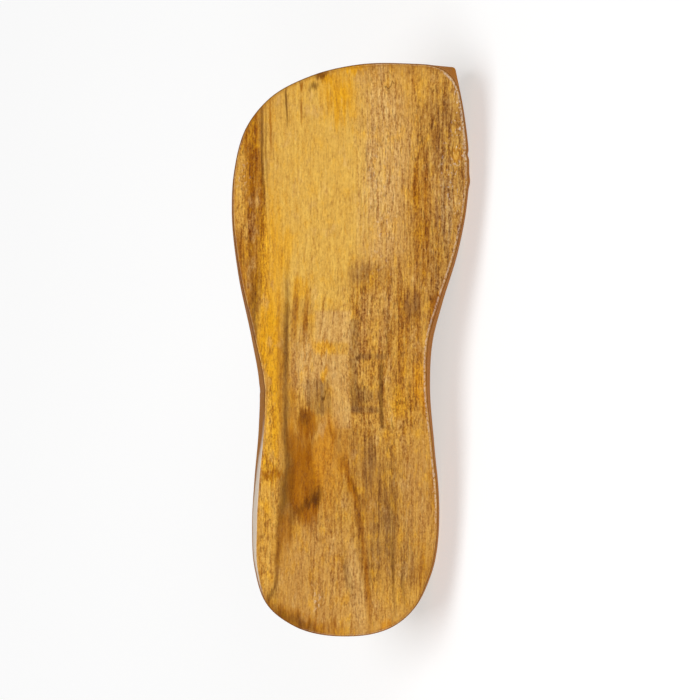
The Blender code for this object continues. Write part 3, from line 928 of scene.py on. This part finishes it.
# %% The figure over them
FIGURE_MARKS = (
    ("knot", 253.3, -16.7, 3.6, 3.6, 0, 0.8, 0.0, "umber", 0.7),
    ("brown beside the knot", 258.3, -13.6, 4, 6, 0, 0.5, 0.1, "umber", 0.6),
    ("amber spot of the toe", 250, -2.8, 8, 5, 0, 0.6, 0.1, "sapwood", 0.85),
    ("amber spot at the toe rim", 261, 1.6, 4, 6, 0, 0.5, 0.1, "sapwood", 0.8),
    ("amber spot by the knot", 255.6, -10, 4, 4, 0, 0.6, 0.1, "sapwood", 0.8),
    ("amber streak of the ball", 182, -28.5, 12, 4, 0, 0.6, 0.1, "sapwood", 0.6),
    ("outer line", 223, -40.6, 46, 1.5, -1, 0.6, 0.0, "umber", 0.65),
    ("outer line, second", 226, -38.9, 38, 1.0, -1, 0.6, 0.0, "umber", 0.4),
    ("outer line, third", 236, -37.0, 26, 0.9, -1, 0.6, 0.0, "russet", 0.75),
    ("dash at the fourth toe", 244, -29.3, 18, 1.0, 0, 0.6, 0.0, "umber", 0.75),
    ("dash at the third toe", 254, -22.2, 5, 1.2, 0, 0.6, 0.0, "russet", 0.9),
    ("dash at the third toe, long", 242, -22.5, 12, 1.0, 0, 0.6, 0.0, "russet", 0.6),
    ("dash in the heart", 221, 7, 9, 1.0, 0, 0.6, 0.0, "umber", 0.4),
    ("dash across the toe", 253, 18, 1.0, 4.5, 0, 0.6, 0.0, "umber", 0.7),
    ("amber patch of the waist", 133, -12, 6, 9, 12, 0.5, 0.1, "sapwood", 0.7),
    ("amber spot of the waist", 121, -11.4, 5, 3.2, 0, 0.5, 0.0, "sapwood", 0.75),
    ("amber patch, inner waist", 106, 23, 9, 8, 0, 0.6, 0.2, "sapwood", 0.5),
    ("amber patch, inner edge", 115, 32.5, 18, 6, 0, 0.6, 0.15, "amber", 0.6),
    ("dark spot of the grey block", 111, -11.8, 2.2, 2.0, 0, 0.6, 0.0, "umber", 0.8),
    ("dark spot of the cross band", 128, 3.8, 2.4, 1.8, 0, 0.6, 0.0, "umber", 0.8),
    ("plum patch, inner waist", 152, 28, 12, 8, 0, 0.6, 0.3, "plum", 0.7),
    ("olive line", 138, -29.3, 54, 3.0, 0, 0.8, 0.35, "umber", 0.68),
    ("line beside the strip", 98, -29.2, 50, 3.2, 0, 0.8, 0.3, "umber", 0.8),
    ("line beside the strip, heel", 64, -31.0, 36, 4.4, 5, 0.7, 0.1, "umber", 0.85),
    ("column beside the line", 101, -26.3, 24, 4.0, 0, 0.4, 0.35, "russet", 0.6),
    ("russet beside the line", 116, -26.5, 26, 4.5, 0, 0.5, 0.3, "russet", 0.35),
    ("column beside the line, amber", 96, -26.8, 10, 2.6, 0, 0.6, 0.1, "amber", 0.5),
    ("strip, olive side", 114, -31.5, 66, 3.2, 0, 0.7, 0.2, "oak", 0.45),
    ("inner heel edge, russet", 84, 38, 44, 3.5, 2, 0.6, 0.45, "russet", 0.6),
    ("flame, right half", 79, -9.0, 44, 13, 8, 0.4, 0.2, "ginger", 0.6),
    ("plum right of the flame", 77, 9, 26, 9, 0, 0.7, 0.5, "plum", 0.6),
    ("russet of the inner toe", 236, 34, 44, 10, 2, 0.7, 0.6, "russet", 0.15),
    ("pale flecks of the inner forefoot", 203, 44, 40, 14, 3, 0.7, 0.6, "tan", 0.4),
    ("plum of the inner heel", 36, 27, 34, 10, 0, 0.7, 0.6, "plum", 0.35),
    ("flame, body", 70, -21.3, 37, 16, 0, 0.2, 0.06, "russet", 0.97),
    ("flame, shoulder", 86, -22.5, 18, 11, 6, 0.35, 0.1, "russet", 0.8),
    ("flame, amber side", 79, -15.4, 18, 4.4, 0, 0.6, 0.1, "amber", 0.45),
    ("flame, left tail", 50, -29.5, 18, 7, 0, 0.5, 0.2, "russet", 0.7),
    ("brown right of the ridge", 91, -7, 14, 6, 0, 0.6, 0.3, "plum", 0.45),
    ("flame, left edge", 90, -27, 14, 4, 0, 0.6, 0.1, "russet", 0.75),
    ("flame, top", 98.5, -19.5, 13.5, 9.5, 0, 0.3, 0.05, "russet", 0.92),
    ("flame, top dark", 101, -21, 7, 5, 0, 0.6, 0.0, "umber", 0.4),
    ("flame, ridge", 89, -11.5, 26, 9, 12, 0.35, 0.08, "ginger", 0.9),
    ("flame, ridge light", 95.5, -13, 8, 3, 24, 0.6, 0.0, "tan", 0.5),
    ("flame, inner ridge", 76, -14.6, 28, 3.2, -3, 0.6, 0.1, "ginger", 0.7),
    ("flame, left side", 70, -27.6, 40, 3.4, 0, 0.6, 0.1, "umber", 0.45),
    ("flame, dark spot", 65, -16.2, 8, 5.6, 20, 0.8, 0.1, "umber", 0.8),
    ("flame, dark tail", 61, -20.5, 11, 3.6, 45, 0.6, 0.15, "umber", 0.65),
    ("flame, second tail", 56, -25, 8, 6, 30, 0.6, 0.2, "umber", 0.3),
    ("flame, tongue", 52, -18, 12, 4, 10, 0.6, 0.2, "russet", 0.3),
    ("knot off the flame", 80, -4, 9, 5, 0, 0.6, 0.1, "russet", 0.65),
    ("line off the flame", 71, -0.2, 18, 2.6, -18, 0.6, 0.0, "russet", 0.9),
    ("line off the flame, dark", 68, 1.6, 12, 1.0, -18, 0.6, 0.0, "umber", 0.5),
    ("curve right of the ridge", 94, -8.2, 11, 1.8, -19, 0.5, 0.05, "russet", 0.65),
    ("line of the outer heel", 36, -34.0, 34, 1.8, 2, 0.6, 0.0, "umber", 0.6),
    ("bend of the outer heel", 20, -36.5, 9, 2.0, 30, 0.6, 0.0, "umber", 0.55),
    ("line down the heel", 27, 7.0, 50, 2.2, -5, 0.7, 0.15, "russet", 0.75),
    ("line of the inner heel", 34, 19, 46, 1.8, -3, 0.6, 0.2, "umber", 0.5),
    ("line of the inner heel, second", 24, 24, 18, 1.4, -4, 0.6, 0.1, "umber", 0.4),
    ("dark rim of the outer heel", 8, -27, 6, 30, 30, 0.7, 0.2, "umber", 0.6),
    ("light band of the heel", 22, 2.2, 46, 7, -9, 0.5, 0.1, "tan", 0.5),
    ("soft line of the heel", 30, -1.2, 22, 2.4, -12, 0.8, 0.1, "umber", 0.35),
    ("bend of the outer heel, soft", 42, -33, 26, 5, 4, 0.8, 0.1, "russet", 0.5),
    ("line in the heel", 29, -2.5, 18, 1.5, -14, 0.6, 0.1, "umber", 0.4),
)

# %% The straight-sided patches of the waist
STRAIGHT_BLOCKS = (
    ("tan tile", 135.5, 150, -16, 0.8, 2.0, 0.2, "tan", 0.65),
    ("dark band, front", 130, 146, 0.6, 4.2, 1.4, 0.2, "plum", 0.55),
    ("brown block, front", 131, 158, 4.2, 16.4, 2.4, 0.7, "tan", 0.3),
    ("line of the waist, front", 131, 151, 16.2, 17.4, 1.2, 0.2, "umber", 0.35),
    ("cross band, front", 127.6, 130.4, 0.6, 16.4, 1.4, 0.3, "plum", 0.55),
    ("dark band, back", 103.6, 128, 0.6, 3.9, 1.1, 0.2, "plum", 0.6),
    ("dark band, wider", 105, 116, 0.5, 8, 3.4, 0.7, "umber", 0.3),
    ("golden block", 120, 127.6, 4.5, 13.6, 1.8, 0.3, "honey", 0.3),
    ("line of the waist", 96, 125.5, 13.8, 15.6, 1.1, 0.1, "umber", 0.75),
    ("cross band, middle", 108.5, 114, 4, 14, 3.0, 0.5, "plum", 0.42),
    ("cross band, back", 103.0, 106, 0.5, 14, 1.6, 0.3, "plum", 0.45),
    ("light block", 96.5, 103.0, 0.8, 13.4, 2.0, 0.35, "honey", 0.7),
    ("grey block", 102, 118.6, -19, -8.4, 3.4, 0.6, "plum", 0.6),
    ("grey block, threads", 103, 118, -18.5, -8.8, 3.0, 0.95, "umber", 0.3),
    ("pale column", 96, 130, -7.7, 0.2, 2.0, 0.2, "tan", 0.6),
)

# %% Where the wood is coarse, and where glints, a highlit worn rim and a wall reflection are painted
COARSE_WOOD = (
    ("inner forefoot", 206, 42, 140, 38, 2, 0.5, 0.2, 1.0),
    ("middle toe", 220, 16, 96, 24, 0, 0.6, 0.3, 0.75),
    ("outer band", 200, -46, 110, 14, -3, 0.5, 0.2, 0.9),
    ("waist", 125, 16, 100, 46, 0, 0.4, 0.2, 0.95),
    ("waist, outer", 125, -18, 60, 28, 0, 0.6, 0.3, 0.5),
    ("heel", 46, 6, 100, 66, 0, 0.4, 0.2, 0.5),
    ("strip", 70, -38, 150, 12, 0, 0.5, 0.2, 0.6),
)
# Where pale spots are painted over the wood as glints of light on the varnish: painted highlights, not a
# colour of the wood.
GLINT_SPECKS = (
    ("inner toe", 240, 50, 44, 7, 3, 0.5, 0.0, 0.9),
    ("inner ball", 212, 47, 40, 12, 0, 0.7, 0.2, 0.6),
    ("middle of the toe", 200, 14, 60, 14, 0, 0.7, 0.3, 0.3),
    ("inner heel edge", 74, 38.5, 16, 3, 0, 0.6, 0.0, 0.8),
    ("outer ball edge", 212, -50, 14, 6, 0, 0.7, 0.0, 0.4),
    ("outer heel scratches", 18, -16, 12, 5, 0, 0.6, 0.0, 0.5),
)
# Where the tread's rim line is painted cream: partly worn wood, partly a painted highlight of the eased edge
# catching the light.
WORN_AND_HIGHLIT_RIM = (
    ("toe corner", 240, 50, 56, 18, 0, 0.3, 0.0, 0.95),
    ("inner side", 172, 46, 120, 20, 8, 0.3, 0.0, 0.45),
    ("inner waist", 118, 36, 50, 8, 0, 0.3, 0.0, 0.5),
    ("inner heel", 74, 40, 50, 10, 0, 0.4, 0.0, 0.6),
    ("outer side", 96, -42, 60, 8, 0, 0.5, 0.0, 0.12),
)
# Where the outer heel wall is painted cream: a painted reflection of the light on the glossy wall, not a
# colour of the wood.
PAINTED_WALL_REFLECTION = (("outer heel wall", 66, -44, 96, 10, 0, 0.3, 0.0, 0.95),)


def shares(tree, kind, where, table):
    """For each row of a table: its tone, if it names one, and the mask of its group times its share."""
    group_name = "block" if kind == "block" else "mark"
    sockets = [name for name in COLUMNS[kind] if name not in ("place", "tone", "share")]
    for row in table:
        named = dict(zip(COLUMNS[kind], row))
        mask = use(tree, group_name, {**where, **{name.title(): named[name] for name in sockets}})["Mask"]
        yield named.get("tone"), product(tree, mask, named["share"])


def marked(tree, colour, where, table, kind="mark"):
    """Lays the tone of every row of a table over a colour, in order."""
    for tone_name, share in shares(tree, kind, where, table):
        colour = laid_over(tree, colour, TONES[tone_name], share)
    return colour


def region(tree, where, table):
    """The highest of the masks of a table."""
    highest = 0.0
    for _, share in shares(tree, "region", where, table):
        highest = sum_of(tree, "MAXIMUM", share, highest)
    return highest


print("tones", len(TONES), "marks", len(TREAD_MARKS) + len(FIGURE_MARKS), "blocks", len(STRAIGHT_BLOCKS))

# %% [markdown]
# ## Varnish and wear
#
# The sandal has one coat of clear varnish. It stands proud between the pores, sinks into them, and is thin
# where the wood was sawn or is rubbed. So the same pore mask that colours the wood also lowers the surface,
# and a rubbed mask thins the coat: on the sole it is the wall, where it was sawn, on the knob the edges of
# its head and collar. The wood of a worn edge is paler too. The coat's lumps also set small pale spots, which
# are painted glints.

# %% The varnish group
PATCH_LENGTHS = (14.0, 7.0, 9.0)
PATCHES_FROM, PATCHES_TO = 0.3, 0.7
THICK_COAT, THIN_COAT = 0.55, 0.33
GLOSSY, DULL = 0.3, 0.46
RUBBED_COAT, RUBBED_ROUGHNESS = -0.9, 0.5
LUMP_LENGTHS = (2.0, 1.3, 1.5)
PORE_HEIGHT, FIBRE_HEIGHT, LUMP_HEIGHT = -0.6, 0.45, 0.3
GLINTS_FROM, GLINTS_TO = 0.60, 0.68


def make_varnish():
    """Turns the pore, fibre and rubbed masks into roughness, coat, height and the glints: pale spots painted
    in the coat.
    """
    tree, given, out = group(
        "varnish",
        (("Place", "Vector", None), ("Pores", "Float", 0.0), ("Fibre", "Float", 0.5),
         ("Rubbed", "Float", 0.0)),
        (("Roughness", "Float"), ("Coat", "Float"), ("Height", "Float"), ("Glints", "Float")),
    )
    patches = noise(tree, stretched(tree, given["Place"], PATCH_LENGTHS), detail=3.0)
    lumps = noise(tree, stretched(tree, given["Place"], LUMP_LENGTHS), detail=2.0)
    coat = soft_step(tree, patches, PATCHES_FROM, PATCHES_TO, THICK_COAT, THIN_COAT)
    gloss = soft_step(tree, patches, PATCHES_FROM, PATCHES_TO, GLOSSY, DULL)
    unrubbed = sum_of(tree, "MULTIPLY_ADD", given["Rubbed"], RUBBED_COAT, 1.0)
    fibre = product(tree, given["Fibre"], FIBRE_HEIGHT)
    height = sum_of(tree, "MULTIPLY_ADD", given["Pores"], PORE_HEIGHT, fibre)
    fill(tree, out, {
        "Roughness": sum_of(tree, "MULTIPLY_ADD", given["Rubbed"], RUBBED_ROUGHNESS, gloss),
        "Coat": product(tree, coat, unrubbed),
        "Height": sum_of(tree, "MULTIPLY_ADD", lumps, LUMP_HEIGHT, height),
        "Glints": soft_step(tree, lumps, GLINTS_FROM, GLINTS_TO),
    })


make_varnish()

# %% [markdown]
# ## The sole's wood
#
# Now it all comes together: a honey ground, the stains, clouds and flecks, the figure, the grain with its
# pores, and last the edges: what the saw and wear did to them, painted shade on the wall and at the tread's
# very edge, a painted highlight on the worn rim, painted glints and a painted reflection on the outer heel
# wall. All of it follows Object coordinates, turned back into the sole's own millimetres, so the figure goes
# through the block as it does in real wood. A painted picture would show the tread alone, and would be
# stretched on the wall.

# %% The sole's own place, and what the mesh carries
SLANT = 0.35


def in_sole(tree):
    """Object coordinates in the sole's own millimetres: the frame's turn undone by a Mapping node."""
    back = Matrix(lay_down.tolist())
    mapping = box(tree, "Mapping", {"Vector": box(tree, "TexCoord").outputs["Object"]}, vector_type="POINT")
    mapping.inputs["Scale"].default_value = (1 / MM, 1 / MM, 1 / MM)
    mapping.inputs["Rotation"].default_value = back.to_euler()
    mapping.inputs["Location"].default_value = -(back @ Vector(heel_end)) / MM
    return mapping.outputs[0]


def slanted(tree, place):
    """Leans the layers of the wood over, so that the foot bed shows them further across than the tread."""
    parted = box(tree, "SeparateXYZ", {0: place}).outputs
    y = sum_of(tree, "MULTIPLY_ADD", parted["Z"], SLANT, parted["Y"])
    return box(tree, "CombineXYZ", {"X": parted["X"], "Y": y, "Z": parted["Z"]}).outputs[0]


def painted(tree, name):
    """A value that the mesh carries on its points."""
    return box(tree, "Attribute", attribute_name=name).outputs["Fac"]

# %% Darken by the grain and lay tones over
LIGHT_SIDE = 0.75
DARKEST = 0.35
GREEN_POWER, BLUE_POWER = 1.45, 1.9
CLOUD_COLUMNS = ("tone", "from", "to", "share")
COAT_COLUMNS = ("mask", "tone", "share")


def brightened(tree, colour, grain, layers, contrast=1.0):
    """Multiplies a colour by 1 + contrast x (the sum of amount x (layer - a half)), warmer where it darkens.

    Dark fibres stand out more than light ones, so what is above one counts only by LIGHT_SIDE.
    """
    swing = 0.0
    for name, amount in layers:
        swing = sum_of(tree, "MULTIPLY_ADD", sum_of(tree, "SUBTRACT", grain[name], 0.5), amount, swing)
    light = sum_of(tree, "MULTIPLY_ADD", swing, contrast, 1.0)
    softer = sum_of(tree, "MULTIPLY_ADD", light, LIGHT_SIDE, 1.0 - LIGHT_SIDE)
    light = sum_of(tree, "MAXIMUM", sum_of(tree, "MINIMUM", light, softer), DARKEST)
    green, blue = (sum_of(tree, "POWER", light, power) for power in (GREEN_POWER, BLUE_POWER))
    warm = box(tree, "CombineColor", {0: light, 1: green, 2: blue}).outputs[0]
    return laid_over(tree, colour, warm, 1.0, "MULTIPLY")


def speckled(tree, colour, pattern, table):
    """Lays tones over a colour where a noise pattern is high or low."""
    for row in table:
        speck = dict(zip(CLOUD_COLUMNS, row))
        share = soft_step(tree, pattern, speck["from"], speck["to"], 0.0, speck["share"])
        colour = laid_over(tree, colour, TONES[speck["tone"]], share)
    return colour


def coated(tree, colour, masks, table):
    """Lays the tones of a table over a colour, in order, each by its mask x its share."""
    for row in table:
        coat = dict(zip(COAT_COLUMNS, row))
        share = product(tree, masks[coat["mask"]], coat["share"])
        colour = laid_over(tree, colour, TONES[coat["tone"]], share)
    return colour

# %% Varnish a wood
COAT_ROUGHNESS = 0.13
WOOD_GLOSS = 0.1
BUMP_STRENGTH = 0.7


def varnish_on(tree, grain, rubbed):
    """The varnish that fits a grain and is rubbed off where the mask says."""
    return use(tree, "varnish", {"Place": grain["Place"], "Pores": grain["Pores"], "Fibre": grain["Fibre"],
                                 "Rubbed": rubbed})


def varnished(tree, shader, colour, coat, bump_distance):
    """Wires the varnish to the shader: gloss from its patches, height from pores, fibre and lumps."""
    bump = box(tree, "Bump", {"Height": coat["Height"], "Distance": bump_distance, "Strength": BUMP_STRENGTH})
    fill(tree, shader, {
        "Base Color": colour,
        "Roughness": coat["Roughness"],
        "Coat Weight": coat["Coat"],
        "Coat Roughness": COAT_ROUGHNESS,
        "Specular IOR Level": WOOD_GLOSS,
        "Normal": bump.outputs[0],
    })


def new_material(name):
    """An empty material with its tree and shader."""
    made = bpy.data.materials.new(name)
    made.use_nodes = True
    return made, made.node_tree, made.node_tree.nodes["Principled BSDF"]

# %% The wood of the sole
THIN_FROM, THIN_TO = 0.42, 0.58
CONTRAST_OF_COARSE, CONTRAST_OF_FINE = 0.8, 0.46
PORES_OF_COARSE, PORES_OF_FINE = 0.46, 0.1
WEAR_FROM, WEAR_TO = 0.35, 0.6
OAK_IN_STREAKS = 0.45
SOLE_LAYERS = (("Streaks", 0.8), ("Threads", 0.9), ("Lines", 1.1), ("Fibre", 1.25), ("Mottle", 1.25))
CLOUD_LENGTHS = (13.0, 7.0, 12.0)
FLECK_LENGTHS = (6.5, 1.8, 3.0)
CLOUDS = (("sapwood", 0.52, 0.68, 0.35), ("tan", 0.46, 0.32, 0.4))
FLECKS = (("sapwood", 0.54, 0.68, 0.3), ("oak", 0.44, 0.34, 0.35))
SOLE_COATS = (
    ("pores", "umber", 1.0),
    # painted glints: cream spots that stand in for light caught by the varnish
    ("painted glints", "cream", 0.6),
    # the wall in russet: partly varnish pooled in the sawn end grain, partly painted shade of a wall turned
    # from the light
    ("sawn wall and its shade", "russet", 0.85),
    ("rim", "russet", 0.4),
    # painted shade: an umber line at the tread's very edge
    ("brink_shade", "umber", 0.55),
    # painted reflection: cream on the outer heel wall
    ("painted wall reflection", "cream", 1.0),
    # cream rim line: partly wear, partly a painted highlight
    ("rim, worn and highlit", "cream", 1.0),
    ("edge", "straw", 0.3),
)
SOLE_BUMP = 0.00025


def sole_wood():
    """The marks over a honey ground, then grain, pores, the wall, partly in painted shade, and the edges,
    with painted shade, a painted highlight, painted glints and a painted reflection.
    """
    made, tree, shader = new_material("sole_wood")
    place = slanted(tree, in_sole(tree))
    grain = use(tree, "grain", {"Place": place})
    torn = use(tree, "ragged", {"Place": place})
    thin = soft_step(tree, grain["Streaks"], THIN_FROM, THIN_TO)
    where = {"X": torn["X"], "Y": torn["Y"], "Streaks": thin}
    parted = box(tree, "SeparateXYZ", {0: grain["Place"]}).outputs
    straight = {"X": parted["X"], "Y": parted["Y"], "Streaks": thin}
    rim, brink_shade, wall, edge = (painted(tree, name) for name in ("rim", "brink_shade", "wall", "edge"))
    coat = varnish_on(tree, grain, wall)
    coarse, glinting, pale, worn_and_highlit_rim_region = (region(tree, where, table) for table in
                                   (COARSE_WOOD, GLINT_SPECKS, PAINTED_WALL_REFLECTION, WORN_AND_HIGHLIT_RIM))
    colour = laid_over(tree, TONES["honey"], TONES["oak"], product(tree, thin, OAK_IN_STREAKS))
    colour = marked(tree, colour, where, TREAD_MARKS)
    cloud = noise(tree, stretched(tree, place, CLOUD_LENGTHS), detail=4.0, roughness=0.65)
    colour = speckled(tree, colour, cloud, CLOUDS)
    fleck = noise(tree, stretched(tree, place, FLECK_LENGTHS), detail=3.0, roughness=0.6)
    colour = speckled(tree, colour, fleck, FLECKS)
    colour = marked(tree, colour, straight, STRAIGHT_BLOCKS, "block")
    colour = marked(tree, colour, where, FIGURE_MARKS)
    contrast = sum_of(tree, "MULTIPLY_ADD", coarse, CONTRAST_OF_COARSE, CONTRAST_OF_FINE)
    colour = brightened(tree, colour, grain, SOLE_LAYERS, contrast)
    depth = sum_of(tree, "MULTIPLY_ADD", coarse, PORES_OF_COARSE, PORES_OF_FINE)
    patchy = soft_step(tree, grain["Mottle"], WEAR_FROM, WEAR_TO)
    colour = coated(tree, colour, {
        "pores": product(tree, grain["Pores"], depth),
        "painted glints": product(tree, coat["Glints"], glinting),
        "sawn wall and its shade": wall,
        "rim": rim,
        "brink_shade": brink_shade,
        "painted wall reflection": product(tree, wall, pale),
        "rim, worn and highlit": product(tree, product(tree, rim, worn_and_highlit_rim_region), patchy),
        "edge": edge,
    }, SOLE_COATS)
    varnished(tree, shader, colour, coat, SOLE_BUMP)
    return made


sole.data.materials.append(sole_wood())
print("the sole's wood has", len(sole.data.materials[0].node_tree.nodes), "boxes")

# %% [markdown]
# ## The knob's wood
#
# The knob was turned with its fibres upright, so the same grain runs up its stem and shows its end on the
# crown. Turning the place by a quarter before it enters the grain group is all that it takes.

# %% The wood of the knob
KNOB_WANDER = 2.0
KNOB_PORE_LENGTH = 3.0
KNOB_LAYERS = (("Threads", 1.0), ("Lines", 1.2), ("Fibre", 1.2), ("Mottle", 0.6))
KNOB_STREAKS_FROM, KNOB_STREAKS_TO = 0.35, 0.65
LEAST_RUSSET, MOST_RUSSET = 0.1, 0.75
KNOB_COATS = (("pores", "umber", 0.4), ("edge", "straw", 0.3))
KNOB_BUMP = 0.0002


def knob_wood():
    """Upright grain on a honey ground, paler where fingers and floor have rubbed the head's rim."""
    made, tree, shader = new_material("knob_wood")
    upright = box(tree, "VectorRotate", {"Vector": in_sole(tree), "Angle": np.pi / 2}, rotation_type="Y_AXIS")
    grain = use(tree, "grain", {"Place": upright.outputs[0], "Wander": KNOB_WANDER,
                                "Pore Length": KNOB_PORE_LENGTH})
    edge = painted(tree, "edge")
    dark = soft_step(tree, grain["Streaks"], KNOB_STREAKS_FROM, KNOB_STREAKS_TO, LEAST_RUSSET, MOST_RUSSET)
    colour = laid_over(tree, TONES["honey"], TONES["russet"], dark)
    colour = brightened(tree, colour, grain, KNOB_LAYERS)
    colour = coated(tree, colour, {"pores": grain["Pores"], "edge": edge}, KNOB_COATS)
    varnished(tree, shader, colour, varnish_on(tree, grain, edge), KNOB_BUMP)
    return made


knob.data.materials.append(knob_wood())
print("the knob's wood has", len(knob.data.materials[0].node_tree.nodes), "boxes")

# %% [markdown]
# ## Floor, light and camera
#
# Small things are often photographed on a sheet of opal plastic that is lit from below, so that the floor
# comes out white and the shadow stays faint. The floor here glows a little for that reason. A large soft
# light hangs overhead and two stand low in front, left and right of the camera: none of them is where the
# polished tread would mirror it. The camera looks square at the tread from far away through a long lens, and
# is rolled so that the toe is up.

# %% Lay the floor and hang the lights
FLOOR_SIZE = 8.0
FLOOR_WHITE = 0.58
FLOOR_GLOW = 0.48
LAMP_COLUMNS = ("name", "place", "size", "watts")
LAMPS = (
    ("overhead", (-0.2, -0.1, 2.4), 2.0, 42),
    ("front right", (1.7, -1.45, 0.6), 1.1, 18),
    ("front left", (-1.7, -1.45, 0.6), 1.1, 18),
)
WORLD_LIGHT = 0.14
WHITE = (1.0, 1.0, 1.0, 1.0)
SOLE_MIDDLE = (LENGTH / 2, -0.5, 0.0)


def opal_floor():
    """A plain square of matt white that glows a little, at the lowest point of the sandal."""
    half, low = FLOOR_SIZE / 2, float(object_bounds()[0][2])
    corners = [(-half, -half, low), (half, -half, low), (half, half, low), (-half, half, low)]
    mesh = bpy.data.meshes.new("floor")
    mesh.from_pydata(corners, [], [(0, 1, 2, 3)])
    floor = bpy.data.objects.new("floor", mesh)
    bpy.context.scene.collection.objects.link(floor)
    made, tree, shader = new_material("opal_white")
    fill(tree, shader, {
        "Base Color": (FLOOR_WHITE, FLOOR_WHITE, FLOOR_WHITE, 1.0),
        "Roughness": 0.9,
        "Specular IOR Level": 0.0,
        "Emission Color": WHITE,
        "Emission Strength": FLOOR_GLOW,
    })
    mesh.materials.append(made)


def hang(lamp, target):
    """A square lamp at its place, turned towards a target."""
    data = bpy.data.lights.new(lamp["name"], "AREA")
    data.size = lamp["size"]
    data.energy = lamp["watts"]
    made = bpy.data.objects.new(lamp["name"], data)
    place = Vector(lamp["place"])
    turned = (target - place).to_track_quat("-Z", "Y").to_matrix().to_4x4()
    made.matrix_world = Matrix.Translation(place) @ turned
    bpy.context.scene.collection.objects.link(made)


opal_floor()
middle = Vector(laid(np.array(SOLE_MIDDLE)))
for row in LAMPS:
    hang(dict(zip(LAMP_COLUMNS, row)), middle)
world = bpy.data.worlds.new("studio")
world.use_nodes = True
fill(world.node_tree, world.node_tree.nodes["Background"], {"Color": WHITE, "Strength": WORLD_LIGHT})
bpy.context.scene.world = world
bpy.context.scene.view_settings.view_transform = "Standard"
print("lamps", [row[0] for row in LAMPS])

# %% Set up the camera
LENS = 300.0
SENSOR = 36.0
IMAGE_PIXELS = 700
SOLE_PIXELS = 576
FAR_CLIP = 20.0

frame_width = LENGTH * MM * IMAGE_PIXELS / SOLE_PIXELS
distance = frame_width * LENS / SENSOR
facing = Vector((-up).tolist())
toe_up = Vector(along.tolist())
camera = bpy.data.objects.new("camera", bpy.data.cameras.new("camera"))
camera.data.lens = LENS
camera.data.sensor_width = SENSOR
camera.data.clip_end = FAR_CLIP
turned = Matrix((toe_up.cross(facing), toe_up, facing)).transposed()
camera.matrix_world = Matrix.Translation(middle + facing * distance) @ turned.to_4x4()
bpy.context.scene.collection.objects.link(camera)
bpy.context.scene.camera = camera
print("camera", round(distance, 2), "m from the tread,", round(camera.matrix_world.translation.z, 2), "m up")
